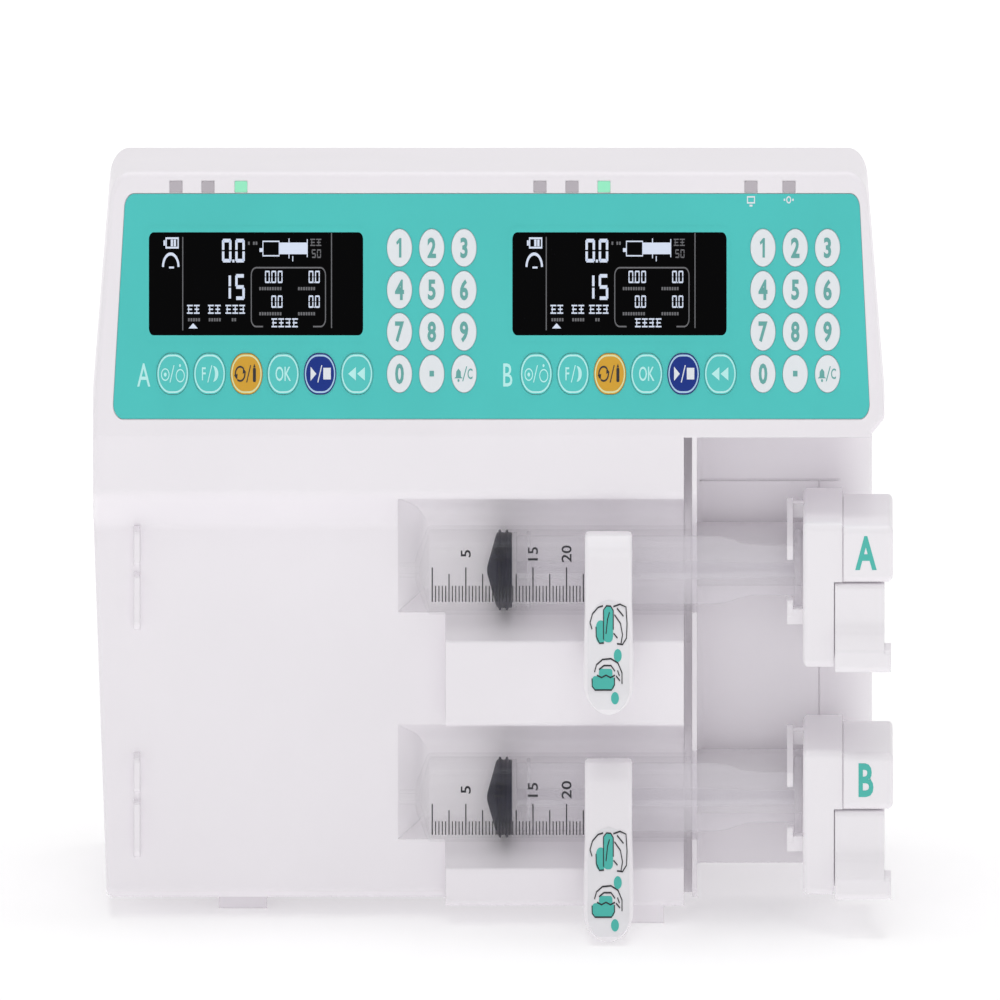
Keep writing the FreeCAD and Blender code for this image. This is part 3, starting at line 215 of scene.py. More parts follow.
class Shape:
    """Collects closed solids, each mapped into the part's frame as it is added."""

    def __init__(self):
        self.bm = bmesh.new()

    def loop(self, outline, place, out):
        return [self.bm.verts.new(place(u, v, out) * MM) for u, v in outline]

    def slab(self, outline, place, low=INK_LOW, high=INK_HIGH):
        """A flat plate with an outline, from one height off the surface to another."""
        under, over = self.loop(outline, place, low), self.loop(outline, place, high)
        self.bm.faces.new(over)
        self.bm.faces.new(list(reversed(under)))
        self.bridge(under, over)

    def bridge(self, first, second):
        count = len(first)
        for i in range(count):
            j = (i + 1) % count
            self.bm.faces.new((first[i], first[j], second[j], second[i]))

    def ring(self, outer, inner, place, low=INK_LOW, high=INK_HIGH):
        """A flat ring between two outlines of the same number of points."""
        loops = [self.loop(outer, place, low), self.loop(outer, place, high),
                 self.loop(inner, place, high), self.loop(inner, place, low)]
        for i, one in enumerate(loops):
            self.bridge(one, loops[(i + 1) % 4])

    def sheet(self, rows, place, low=INK_LOW, high=INK_HIGH):
        """A thin plate that follows a curved surface, from rows of drawing points."""
        rims = []
        for out in (low, high):
            grid = [self.loop(row, place, out) for row in rows]
            for first, second in zip(grid, grid[1:]):
                for i in range(len(first) - 1):
                    self.bm.faces.new((first[i], first[i + 1], second[i + 1], second[i]))
            rims.append(grid[0] + [row[-1] for row in grid[1:]] + list(reversed(grid[-1][:-1]))
                        + [row[0] for row in reversed(grid[1:-1])])
        self.bridge(*rims)

    def text(self, words, size, place, low=INK_LOW, high=INK_HIGH, wide=1.0, bold=0.0, turned=False):
        """Plain lettering, centred on the place's origin."""
        curve = bpy.data.curves.new("lettering", "FONT")
        curve.body = words
        curve.size = size
        curve.align_x, curve.align_y = "CENTER", "CENTER"
        curve.offset = bold
        curve.extrude = 0.5
        curve.resolution_u = 3
        holder = bpy.data.objects.new("lettering", curve)
        bpy.context.scene.collection.objects.link(holder)
        bpy.context.view_layer.update()
        mesh = bpy.data.meshes.new_from_object(holder.evaluated_get(bpy.context.evaluated_depsgraph_get()))
        xs = [vertex.co.x for vertex in mesh.vertices]
        ys = [vertex.co.y for vertex in mesh.vertices]
        middle = Vector(((min(xs) + max(xs)) / 2, (min(ys) + max(ys)) / 2, 0))
        for vertex in mesh.vertices:
            u, v = (vertex.co.x - middle.x) * wide, vertex.co.y - middle.y
            out = high if vertex.co.z > 0 else low
            if turned:
                u, v = -v, u
            vertex.co = place(u, v, out) * MM
        self.bm.from_mesh(mesh)
        bpy.data.objects.remove(holder)
        bpy.data.curves.remove(curve)
        bpy.data.meshes.remove(mesh)

    def lathe(self, profile, centre_y, centre_z, steps=96, closed=False):
        """Turns (x, radius) points about a line along X. A point on the axis closes that end."""
        rows = []
        for x, r in profile:
            if r < 1e-6:
                rows.append([self.bm.verts.new(Vector((x, centre_y, centre_z)) * MM)])
                continue
            rows.append([
                self.bm.verts.new(Vector((
                    x,
                    centre_y - r * math.cos(2 * math.pi * i / steps),
                    centre_z + r * math.sin(2 * math.pi * i / steps),
                )) * MM)
                for i in range(steps)
            ])
        pairs = list(zip(rows, rows[1:]))
        if closed:
            pairs.append((rows[-1], rows[0]))
        for first, second in pairs:
            for i in range(steps):
                j = (i + 1) % steps
                corners = [first[i % len(first)], first[j % len(first)],
                           second[j % len(second)], second[i % len(second)]]
                unique = list(dict.fromkeys(corners))
                if len(unique) > 2:
                    self.bm.faces.new(unique)

    def finish(self, name, material, body, slot=None, replaces=(), smooth=None, bevel=None):
        bmesh.ops.remove_doubles(self.bm, verts=self.bm.verts, dist=1e-7)
        bmesh.ops.recalc_face_normals(self.bm, faces=self.bm.faces)
        mesh = bpy.data.meshes.new(name)
        self.bm.to_mesh(mesh)
        self.bm.free()
        made = bpy.data.objects.new(name, mesh)
        bpy.context.scene.collection.objects.link(made)
        mesh.materials.append(material)
        if smooth is not None:
            for face in mesh.polygons:
                face.use_smooth = True
            mesh.set_sharp_from_angle(angle=math.radians(smooth))
        if bevel:
            rounding = made.modifiers.new("rounding", "BEVEL")
            rounding.width = bevel * MM
            rounding.segments = 3
            rounding.limit_method = "ANGLE"
            rounding.angle_limit = math.radians(35)
        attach(made, body)
        if replaces:
            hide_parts(*replaces)


# ---- outlines ----

def rectangle(left, low, right, high):
    return [(left, low), (right, low), (right, high), (left, high)]


def rounded(left, low, right, high, radius, steps=6):
    """A rectangle with round corners, counter-clockwise from its lower right corner."""
    points = []
    for cx, cy, start in ((right - radius, low + radius, -90), (right - radius, high - radius, 0),
                          (left + radius, high - radius, 90), (left + radius, low + radius, 180)):
        for i in range(steps + 1):
            a = math.radians(start + 90 * i / steps)
            points.append((cx + radius * math.cos(a), cy + radius * math.sin(a)))
    return points


def disc(x, y, radius, steps=28):
    angles = [2 * math.pi * i / steps for i in range(steps)]
    return [(x + radius * math.cos(a), y + radius * math.sin(a)) for a in angles]


def band(points, width):
    """The outline of a line of even width through the points."""
    left, right = [], []
    for i, (x, y) in enumerate(points):
        before, after = points[max(0, i - 1)], points[min(len(points) - 1, i + 1)]
        dx, dy = after[0] - before[0], after[1] - before[1]
        size = math.hypot(dx, dy)
        nx, ny = -dy / size * width / 2, dx / size * width / 2
        left.append((x + nx, y + ny))
        right.append((x - nx, y - ny))
    return right + list(reversed(left))


def arc(x, y, radius, start, end, steps=16, tall=1.0):
    angles = [math.radians(start + (end - start) * i / steps) for i in range(steps + 1)]
    return [(x + radius * math.cos(a), y + tall * radius * math.sin(a)) for a in angles]


# ---- carried-over CAD nodes ----

def paint(node, material):
    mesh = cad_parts[node].data
    mesh.materials.clear()
    mesh.materials.append(material)


for node in ("front_housing", "rear_housing"):
    paint(node, PLASTIC)
paint("housing_screws", STEEL)
paint("control_overlay", OVERLAY)
paint("display_modules", GLASS)
paint("drive_frame", ALUMINIUM)
paint("drive_motors", MOTOR)
paint("power_unit", NYLON)
for channel in CHANNEL_Z:
    paint(f"pusher_head_{channel}", PLASTIC_BRIGHT)
    paint(f"release_lever_{channel}", PLASTIC_BRIGHT)
    paint(f"push_tube_{channel}", TUBE)
    paint(f"lead_screw_{channel}", STEEL)
    paint(f"clamp_shaft_{channel}", STEEL)
KEY_COLOURS = {"purge": KEY_ORANGE, "start_stop": KEY_BLUE, "power": KEY_TEAL, "function": KEY_TEAL,
               "ok": KEY_TEAL, "rewind": KEY_TEAL}
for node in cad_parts:
    if node.startswith("key_"):
        paint(node, KEY_COLOURS.get(node.split("_", 2)[2], KEY_WHITE))


# ---- displays ----

SEGMENTS = {"0": "abcdef", "1": "bc", "5": "afgcd"}


def seven_segment(shape, place, digit, x, low, width, height, thick):
    middle = low + height / 2
    cut = thick * 0.22
    lean = 0.4 * thick
    bars = {
        "a": rectangle(x + lean, low + height - thick, x + width - lean, low + height),
        "d": rectangle(x + lean, low, x + width - lean, low + thick),
        "g": rectangle(x + lean, middle - thick / 2, x + width - lean, middle + thick / 2),
        "f": rectangle(x, middle + cut, x + thick, low + height - lean),
        "b": rectangle(x + width - thick, middle + cut, x + width, low + height - lean),
        "e": rectangle(x, low + lean, x + thick, middle - cut),
        "c": rectangle(x + width - thick, low + lean, x + width, middle - cut),
    }
    for bar in SEGMENTS[digit]:
        shape.slab(bars[bar], place)


def number_row(shape, place, digits, right, low, width, height, thick, gap):
    """Digits set from the right; a full stop takes no width of its own."""
    x = right - width
    for digit in reversed(digits):
        if digit == ".":
            shape.slab(rectangle(x + width + gap * 0.2, low, x + width + gap * 0.8, low + thick * 0.8), place)
            continue
        seven_segment(shape, place, digit, x, low, width, height, thick)
        x -= width + gap


def label_marks(shape, place, x, low, width, height, count, gap):
    """Small generic marks in place of a label's characters."""
    for i in range(count):
        left = x + i * (width + gap)
        for j, share in enumerate((0.0, 0.42, 0.84)):
            inset = 0.12 * width if j == 1 else 0.0
            shape.slab(rectangle(left + inset, low + share * height, left + width - inset,
                                 low + share * height + 0.16 * height), place)
        stem = left + width * (0.3 + 0.2 * (i % 3))
        shape.slab(rectangle(stem - 0.07 * width, low, stem + 0.07 * width, low + height), place, 0.055, 0.07)


def display_print(name, shift):
    at = shifted(on_panel, DISPLAY_X + shift, DISPLAY_LOW, -0.1)
    bright, dim = Shape(), Shape()
    number_row(bright, at, "0.0", 38.7, 19.8, 3.8, 6.3, 0.95, 1.5)
    number_row(bright, at, "15", 38.7, 9.8, 3.8, 6.9, 0.95, 1.7)
    for digits, right, low in (("0.00", 53.8, 14.3), ("0.0", 68.7, 14.3), ("0.0", 53.8, 7.7),
                               ("0.0", 68.7, 7.7)):
        number_row(bright, at, digits, right, low, 1.9, 3.3, 0.42, 0.65)
    for x, count in ((15.6, 2), (24.0, 2), (31.0, 3)):
        label_marks(bright, at, x, 6.1, 2.3, 2.4, count, 0.45)
    label_marks(bright, at, 49.4, 2.5, 2.3, 2.4, 4, 0.45)
    label_marks(dim, at, 64.9, 24.2, 2.0, 1.9, 2, 0.4)
    number_row(dim, at, "50", 69.2, 21.0, 1.6, 2.3, 0.35, 0.5)
    for x, low, count in ((16.0, 4.1, 5), (24.3, 4.1, 5), (33.5, 4.1, 2), (44.5, 12.4, 9), (60.0, 12.4, 7),
                          (44.5, 5.7, 9), (60.0, 5.7, 7), (40.0, 24.5, 1), (42.0, 24.5, 2)):
        for i in range(count):
            left = x + 1.02 * i
            dim.slab(rectangle(left, low, left + 0.7, low + 0.85), at)
    bright.slab([(16.2, 2.2), (19.9, 2.2), (18.05, 3.6)], at)
    # battery
    bright.slab(rectangle(6.2, 24.3, 6.9, 25.7), at)
    bright.ring(rectangle(7.0, 23.5, 12.3, 26.5), rectangle(7.5, 24.0, 11.8, 26.0), at)
    for left in (9.1, 10.3):
        bright.slab(rectangle(left, 24.1, left + 0.9, 25.9), at, 0.02, 0.06)
    # dial
    bright.slab(band(arc(9.1, 18.6, 3.1, 0, 180, 20, 1.12), 0.8), at)
    bright.slab(rectangle(8.4, 18.2, 10.4, 18.7), at)
    # syringe
    bright.slab(rectangle(44.6, 22.6, 45.8, 23.6), at)
    bright.ring(rectangle(45.8, 21.4, 52.6, 25.6), rectangle(46.15, 21.75, 52.3, 25.25), at)
    bright.slab(rectangle(52.4, 22.0, 63.6, 25.1), at)
    for x, low, high in ((56.4, 20.9, 26.2), (63.7, 21.2, 26.0), (57.9, 20.1, 21.5)):
        bright.slab(rectangle(x - 0.18, low, x + 0.18, high), at, 0.012, 0.055)
    for x, low, high in ((13.9, 1.7, 26.6), (73.4, 2.3, 27.7)):
        dim.slab(rectangle(x - 0.2, low, x + 0.2, high), at)
    # the box round the four small numbers, open below where its label stands
    corner = 2.0
    left, right, low, high = 41.3, 71.0, 2.7, 18.4
    path = [(46.0, low), *arc(left + corner, low + corner, corner, 270, 180, 6),
            *arc(left + corner, high - corner, corner, 180, 90, 6),
            *arc(right - corner, high - corner, corner, 90, 0, 6),
            *arc(right - corner, low + corner, corner, 0, -90, 6), (66.0, low)]
    dim.slab(band(path, 0.4), at)
    bright.finish(f"display_segments_{name}", SEGMENT, "housing")
    dim.finish(f"display_dim_segments_{name}", SEGMENT_DIM, "housing")
    trim = Shape()
    wide, lap = 1.3, 0.35
    outer = rounded(DISPLAY_X + shift - wide, DISPLAY_LOW - wide,
                    DISPLAY_X + shift + DISPLAY_W + wide, DISPLAY_LOW + DISPLAY_H + wide, 2.9)
    inner = rounded(DISPLAY_X + shift + lap, DISPLAY_LOW + lap,
                    DISPLAY_X + shift + DISPLAY_W - lap, DISPLAY_LOW + DISPLAY_H - lap, 1.9)
    trim.ring(outer, inner, on_panel, 0.005, 0.09)
    trim.finish(f"display_window_{name}", OVERLAY, "housing")


for name, shift in BLOCK_X.items():
    display_print(name, shift)


# ---- indicator lights and printed letters ----

# Each light's left edge along the panel, and whether it is lit.
LIGHTS = [(-129.3, False), (-116.5, False), (-103.3, True), (16.3, False), (29.1, False), (41.9, True),
          (100.7, False), (115.9, False)]
LIGHT_W, LIGHT_LOW, LIGHT_HIGH = 5.0, 60.4, 63.4
for wanted, material, title in ((False, LIGHT_OFF, "lights_off"), (True, LIGHT_ON, "lights_on")):
    lens = Shape()
    for left, lit in LIGHTS:
        if lit == wanted:
            lens.slab(rounded(left, LIGHT_LOW, left + LIGHT_W, LIGHT_HIGH, 0.5, 4), on_panel, -4.0, 0.1)
    lens.finish(title, material, "housing", "light_lens", ("indicator_lights",), bevel=0.12)

icons = Shape()
icons.ring(rectangle(101.6, 57.4, 104.8, 59.4), rectangle(102.0, 57.8, 104.4, 59.0), on_panel, 0.005, 0.05)
icons.slab(rectangle(102.6, 56.6, 103.8, 57.1), on_panel, 0.005, 0.05)
icons.ring(disc(118.3, 58.4, 1.0), disc(118.3, 58.4, 0.6), on_panel, 0.005, 0.05)
for step in (-1.7, 1.7):
    icons.slab(rectangle(118.3 + step - 0.3, 58.1, 118.3 + step + 0.3, 58.7), on_panel, 0.005, 0.05)
icons.finish("panel_icons", INK_WHITE, "housing")

letters = Shape()
for word, x in (("A", -139.7), ("B", 5.9)):
    letters.text(word, 8.9, shifted(on_panel, x, 11.7), 0.005, 0.05, wide=0.86, bold=0.05)
letters.finish("panel_letters", INK_CYAN, "housing")


# ---- keys ----

def stadium(inset):
    half, reach = 10.9 / 2 - inset, 12.8 / 2 - inset
    return rounded(-reach, -half, reach, half, half - 0.005, 10)


def slash(shape, place, x, height=4.6):
    lean = 0.8
    shape.slab([(x - lean - 0.2, -height / 2), (x - lean + 0.2, -height / 2), (x + lean + 0.2, height / 2),
                (x + lean - 0.2, height / 2)], place)


def power_icon(shape, at):
    shape.ring(disc(-3.0, -0.2, 1.7), disc(-3.0, -0.2, 1.35), at)
    shape.slab(disc(-3.0, -0.2, 0.55), at)
    slash(shape, at, -0.3)
    shape.ring(disc(3.0, -0.5, 1.8), disc(3.0, -0.5, 1.45), at)
    shape.slab(disc(2.9, 2.2, 0.4), at)


def function_icon(shape, at):
    shape.text("F", 5.0, shifted(at, -2.3), wide=0.8, bold=0.04)
    slash(shape, at, 0.1)
    moon = arc(1.4, 0, 2.1, -90, 90, 16) + arc(-1.1, 0, 3.27, 38, -38, 12)
    shape.slab(moon, at)


def purge_icon(shape, at):
    shape.slab(band(arc(-2.5, 0, 1.9, 40, 215, 14), 0.5), at)
    shape.slab(band(arc(-2.5, 0, 1.9, 235, 380, 14), 0.5), at)
    shape.slab([(-4.9, -0.4), (-3.7, -1.6), (-3.5, 0.0)], at, 0.015, 0.055)
    shape.slab([(-0.1, 0.4), (-1.3, 1.6), (-1.5, 0.0)], at, 0.015, 0.055)
    slash(shape, at, 0.9)
    shape.slab(rounded(2.6, -2.2, 3.8, 1.6, 0.4, 4), at)
    shape.slab([(2.7, 1.7), (3.7, 1.7), (3.2, 2.7)], at)


def ok_icon(shape, at):
    shape.text("OK", 5.4, at, wide=0.78, bold=0.06)


def start_icon(shape, at):
    shape.slab([(-3.8, -1.9), (-1.5, 0.0), (-3.8, 1.9)], at)
    slash(shape, at, -0.1)
    shape.slab(rectangle(1.3, -1.5, 4.3, 1.6), at)


def rewind_icon(shape, at):
    for x in (-3.5, 0.1):
        shape.slab([(x, 0.0), (x + 3.1, -1.8), (x + 3.1, 1.8)], at)


def clear_icon(shape, at):
    bell = [(-3.9, -1.2), (-3.2, -0.8), (-3.1, 0.6), (-2.2, 1.4), (-1.3, 0.6), (-1.2, -0.8), (-0.5, -1.2)]
    shape.slab(bell, at)
    shape.slab(disc(-2.2, -1.8, 0.4, 12), at)
    slash(shape, at, 0.3, 4.0)
    shape.text("C", 3.9, shifted(at, 2.4), wide=0.8, bold=0.05)


ICONS = {
    "power": (power_icon, INK_CYAN, INK_CYAN),
    "function": (function_icon, INK_CYAN, INK_CYAN),
    "purge": (purge_icon, INK_BLACK, surface("ink_pale_yellow", (0.78, 0.80, 0.42), 0.4, grain=0.02)),
    "ok": (ok_icon, INK_CYAN, INK_CYAN),
    "start_stop": (start_icon, INK_WHITE, surface("ink_pale_blue", (0.45, 0.66, 0.86), 0.4, grain=0.02)),
    "rewind": (rewind_icon, INK_CYAN, INK_CYAN),
}
NUMBER_ROWS = [["0", "point", "clear"], ["7", "8", "9"], ["4", "5", "6"], ["1", "2", "3"]]


for block_name, shift in BLOCK_X.items():
    for column, name in enumerate(ICONS):
        key = f"key_{block_name}_{name}"
        draw, ink, rim_ink = ICONS[name]
        at = shifted(on_panel, FUNCTION_X + column * FUNCTION_PITCH + shift, ROW_LOW, KEY_PROUD)
        mark = Shape()
        draw(mark, at)
        mark.finish(f"{key}_mark", ink, key)
        rim = Shape()
        rim.ring(stadium(0.32), stadium(0.80), at, 0.0, 0.06)
        rim.finish(f"{key}_outline", rim_ink, key)
    for row, names in enumerate(NUMBER_ROWS):
        for column, name in enumerate(names):
            key = f"key_{block_name}_{name}"
            across, up = NUMBER_X + column * NUMBER_PITCH + shift, ROW_LOW + row * ROW_PITCH
            at = shifted(on_panel, across, up, KEY_PROUD)
            mark = Shape()
            if name == "point":
                mark.slab(rectangle(-0.9, -0.7, 0.9, 0.8), at)
            elif name == "clear":
                clear_icon(mark, at)
            elif name == "1":
                mark.slab([(-0.2, -2.6), (0.75, -2.6), (0.75, 2.6), (0.05, 2.6), (-1.3, 1.5), (-1.0, 0.8),
                           (-0.2, 1.35)], at)
            else:
                mark.text(name, 7.2, at, wide=0.95, bold=0.24)
            mark.finish(f"{key}_mark", INK_GREY, key)


# ---- syringes ----

FLANGE_X, FLANGE_R, FLANGE_HALF_FLAT, FLANGE_HOLE_R = 77.2, 19.35, 12.5, 11.0
SCALE_ZERO_X, SCALE_STEP = -24.3, 2.686     # the zero line, and the travel of one unit
SCALE_LOW = -35.5                           # where every line starts, in degrees up from straight ahead


def barrel(name, axis_z):
    """A clear moulded barrel with its nozzle, shoulder, inner cone and finger flange."""
    skin = Shape()
    skin.lathe([
        (-37.5, 1.1), (-37.5, 1.95), (-36.8, 2.02), (-31.2, 2.1), (-30.7, 3.9), (-30.3, 4.7), (-29.8, 5.4),
        (-26.9, 10.5), (-26.3, 11.3), (-25.4, 11.8), (-24.4, BARREL_R), (20.0, BARREL_R), (77.0, BARREL_R),
        (77.3, 12.4), (77.3, BORE_R), (20.0, BORE_R), (-24.9, BORE_R), (-25.6, 10.6), (-29.2, 1.8),
        (-29.6, 1.1),
    ], AXIS_Y, axis_z, closed=True)
    skin.finish(f"barrel_{name}", BARREL, "housing", "clear_plastic", ("syringe_barrels",), smooth=38)
    flange = Shape()
    outer, inner = [], []
    for i in range(144):
        a = math.radians(i * 2.5)
        reach = min(FLANGE_R, FLANGE_HALF_FLAT / max(1e-6, abs(math.cos(a))))
        outer.append((reach * math.cos(a), reach * math.sin(a)))
        inner.append((FLANGE_HOLE_R * math.cos(a), FLANGE_HOLE_R * math.sin(a)))

    def place(u, v, w):
        return Vector((FLANGE_X + w, AXIS_Y + u, axis_z + v))
    flange.ring(outer, inner, place, 0.0, 2.0)
    flange.finish(f"flange_{name}", BARREL, "housing", "clear_plastic", ("syringe_barrels",), smooth=30,
                  bevel=0.35)


def scale(name, axis_z):
    """Graduations half a unit apart, longer at each fifth line and longest at each tenth, with numerals."""
    level_with_front = on_barrel(axis_z)

    def at(x, degrees, out):
        return level_with_front(x, degrees - PRINT_TURN[name], out)
    ink = Shape()
    for i in range(46):
        x = SCALE_ZERO_X + SCALE_STEP * i / 2
        if i % 10 == 0:
            top, width = 13.2, 0.50
        elif i % 5 == 0:
            top, width = 4.9, 0.46
        else:
            top, width = -10.8, 0.42
        if x + width > CLAMP_X - 9:
            continue
        parts = max(4, int((top + 36) / 3))
        angles = [SCALE_LOW + (top - SCALE_LOW) * j / parts for j in range(parts + 1)]
        ink.sheet([[(x - width / 2, angle), (x + width / 2, angle)] for angle in angles], at)
    degrees_per_mm = math.degrees(1 / BARREL_R)
    for value in (5, 10, 15, 20):
        def beside_line(u, v, w, x=SCALE_ZERO_X + SCALE_STEP * value):
            return at(x + u, 31.5 + v * degrees_per_mm, w)
        ink.text(str(value), 5.6, beside_line, wide=0.9, bold=0.07, turned=True)
    ink.finish(f"barrel_scale_{name}", INK_BLACK, "housing")


def plunger(name, axis_z):
    """A cross-ribbed rod with its thumb disc and collars, and a rubber stopper with two seal rings."""
    body = f"pusher_{name}"
    rod = Shape()
    half = 0.8
    upper = [(9.4, 9.2), (20.0, 9.2), (88.0, 9.2), (91.0, 9.0), (94.0, 8.6), (99.0, 7.4), (102.0, 6.95),
             (105.0, 6.8), (120.6, 6.8)]
    outline = upper + [(x, -r) for x, r in reversed(upper)]

    def upright(u, v, w):
        return Vector((u, AXIS_Y + w, axis_z + v))

    def level(u, v, w):
        return Vector((u, AXIS_Y + v, axis_z + w))
    rod.slab(outline, upright, -half, half)
    rod.slab(outline, level, -half * 0.98, half * 0.98)
    rod.finish(f"plunger_rod_{name}", ROD, body, "plunger_plastic", (f"plunger_{name}",), bevel=0.18)
    discs = Shape()
    discs.lathe([(120.4, 0), (120.4, 10.4), (120.7, 10.9), (121.2, 11.0), (122.8, 11.0), (123.3, 10.8),
                 (123.4, 10.3), (123.4, 0)], AXIS_Y, axis_z)
    discs.lathe([(13.6, 0), (13.6, 10.3), (13.9, 10.45), (14.7, 10.45), (15.0, 10.3), (15.0, 0)],
                AXIS_Y, axis_z)
    discs.lathe([(7.7, 0), (7.7, 9.9), (7.9, 10.15), (9.3, 10.15), (9.6, 9.9), (9.6, 0)], AXIS_Y, axis_z)
    discs.finish(f"plunger_discs_{name}", ROD, body, "plunger_plastic", (f"plunger_{name}",), smooth=35)
    bung = Shape()
    waist, seal = BORE_R - 0.8, BORE_R - 0.06
    bung.lathe([
        (-2.4, 0), (-2.36, 0.6), (-2.1, 1.5), (1.2, waist - 0.7), (1.6, waist - 0.15), (1.9, waist),
        (2.1, waist), (2.2, waist + 0.2), (2.35, seal - 0.1), (2.6, seal), (3.0, seal), (3.2, seal - 0.15),
        (3.4, waist + 0.1), (3.8, waist), (4.6, waist), (4.95, waist + 0.1), (5.15, seal - 0.15), (5.4, seal),
        (5.8, seal), (6.0, seal - 0.15), (6.2, waist + 0.1), (6.4, waist), (7.4, waist), (7.6, waist - 0.2),
        (7.6, 0),
    ], AXIS_Y, axis_z)
    bung.finish(f"stopper_{name}", RUBBER, body, replaces=(f"plunger_{name}",), smooth=50)


for name, axis_z in CHANNEL_Z.items():
    barrel(name, axis_z)
    scale(name, axis_z)
    plunger(name, axis_z)


# ---- pusher heads' letters ----

HEAD_LETTER_X, HEAD_LETTER_RISE, HEAD_LETTER_SIZE = 149.2, 8.8, 12.4


for name, axis_z in CHANNEL_Z.items():
    def on_head(u, v, w, middle_z=axis_z + HEAD_LETTER_RISE):
        return Vector((HEAD_LETTER_X + u, HEAD_FRONT_Y - w, middle_z + v))
    sign = Shape()
    sign.text(name.upper(), HEAD_LETTER_SIZE, on_head, 0.02, 0.08, wide=0.92, bold=0.34)
    sign.finish(f"head_letter_{name}", INK_TEAL, f"pusher_{name}")


# ---- barrel clamps ----

CLAMP_FRONT = [(12.8, -58.6), (12.3, -59.3), (9.8, -62.2), (8.6, -63.2), (4.0, -65.0), (-4.0, -68.2),
               (-12.0, -72.4), (-20.0, -76.7), (-25.5, -79.2), (-28.5, -79.9), (-32.1, -79.9)]
CLAMP_BACK = [(12.8, -51.5), (-21.0, -51.5), (-25.0, -53.4), (-28.5, -60.0), (-30.5, -66.0), (-32.1, -72.0)]
CLAMP_TOP, CLAMP_TIP, CLAMP_TIP_R = 12.75, -32.1, 9.0       # heights from the syringe's axis
LABEL_TOP, LABEL_LENGTH, LABEL_ROWS = -3.0, 27.6, 46


def along(points, height):
    """Reads a side line, given as (height, y) from the top down, at a height."""
    for (h0, y0), (h1, y1) in zip(points, points[1:]):
        if h0 >= height >= h1:
            return y0 + (y1 - y0) * (h0 - height) / (h0 - h1)
    return points[-1][1] if height < points[-1][0] else points[0][1]


def smooth_along(points, height, reach=1.6):
    spots = [along(points, height + reach * k / 3) for k in range(-3, 4)]
    return sum(spots) / len(spots)


def clamp_half_width(height):
    """The arm's half width: a little wider towards the bottom, with a round tip."""
    half = 9.45 + 0.5 * max(0.0, min(1.0, (-6 - height) / 12))
    into_tip = (CLAMP_TIP + CLAMP_TIP_R - height) / CLAMP_TIP_R
    if into_tip > 0:
        half *= math.sqrt(max(0.0, 1 - into_tip ** 2.3))
    return half


def label_half_width(height):
    """The label's half width: it follows the arm, and is round at its upper end."""
    into_end = (height + 11.0) / 8.0
    if into_end > 0:
        half = 8.2 * math.sqrt(max(0.0, 1 - into_end ** 2))
    else:
        half = min(8.3, clamp_half_width(height) - 1.2)
    return max(0.25, half)


def clamp_arm(name, axis_z):
    """The arm from its top edge down to its tip, section by section, with the label on its front."""
    body = f"clamp_swing_{name}"
    arm = Shape()
    tip_start = CLAMP_TIP + CLAMP_TIP_R
    heights = [CLAMP_TOP, 12.6, 12.3] + [12.0 - 0.8 * i for i in range(44)]
    heights += [tip_start - CLAMP_TIP_R * math.sin(math.radians(5 * i)) for i in range(1, 18)]
    heights.append(CLAMP_TIP + 0.01)

    def level(u, v, height):
        return Vector((CLAMP_X + u, v, axis_z + height))
    sections = []
    for height in heights:
        inset = max(0.0, height - 12.0)
        half = clamp_half_width(height) - inset * 0.6
        front = smooth_along(CLAMP_FRONT, height) + inset * 0.5
        back = smooth_along(CLAMP_BACK, height) - inset * 0.3
        corner = max(0.2, min(1.9, half * 0.8, (back - front) * 0.45))
        sections.append(arm.loop(rounded(-half, front, half, back, corner, 5), level, height))
    for first, second in zip(sections, sections[1:]):
        arm.bridge(first, second)
    arm.bm.faces.new(sections[0])
    arm.bm.faces.new(list(reversed(sections[-1])))
    arm.finish(f"clamp_arm_{name}_skin", PLASTIC_BRIGHT, body, "housing_plastic", (f"clamp_arm_{name}",),
               smooth=55)

    def on_front(u, v, w):
        slope = smooth_along(CLAMP_FRONT, v + 0.5) - smooth_along(CLAMP_FRONT, v - 0.5)
        size = math.hypot(1, slope)
        return Vector((CLAMP_X + u, smooth_along(CLAMP_FRONT, v) - w / size, axis_z + v + w * slope / size))

    label = Shape()
    heights = [LABEL_TOP - LABEL_LENGTH * i / LABEL_ROWS for i in range(LABEL_ROWS + 1)]
    rows = [[(label_half_width(v) * (k / 6 - 1), v) for k in range(13)] for v in heights]
    label.sheet(rows, on_front, 0.02, 0.16)
    label.finish(f"clamp_label_{name}", STICKER, body, "housing_plastic", smooth=40)
    clamp_pictures(name, body, on_front)


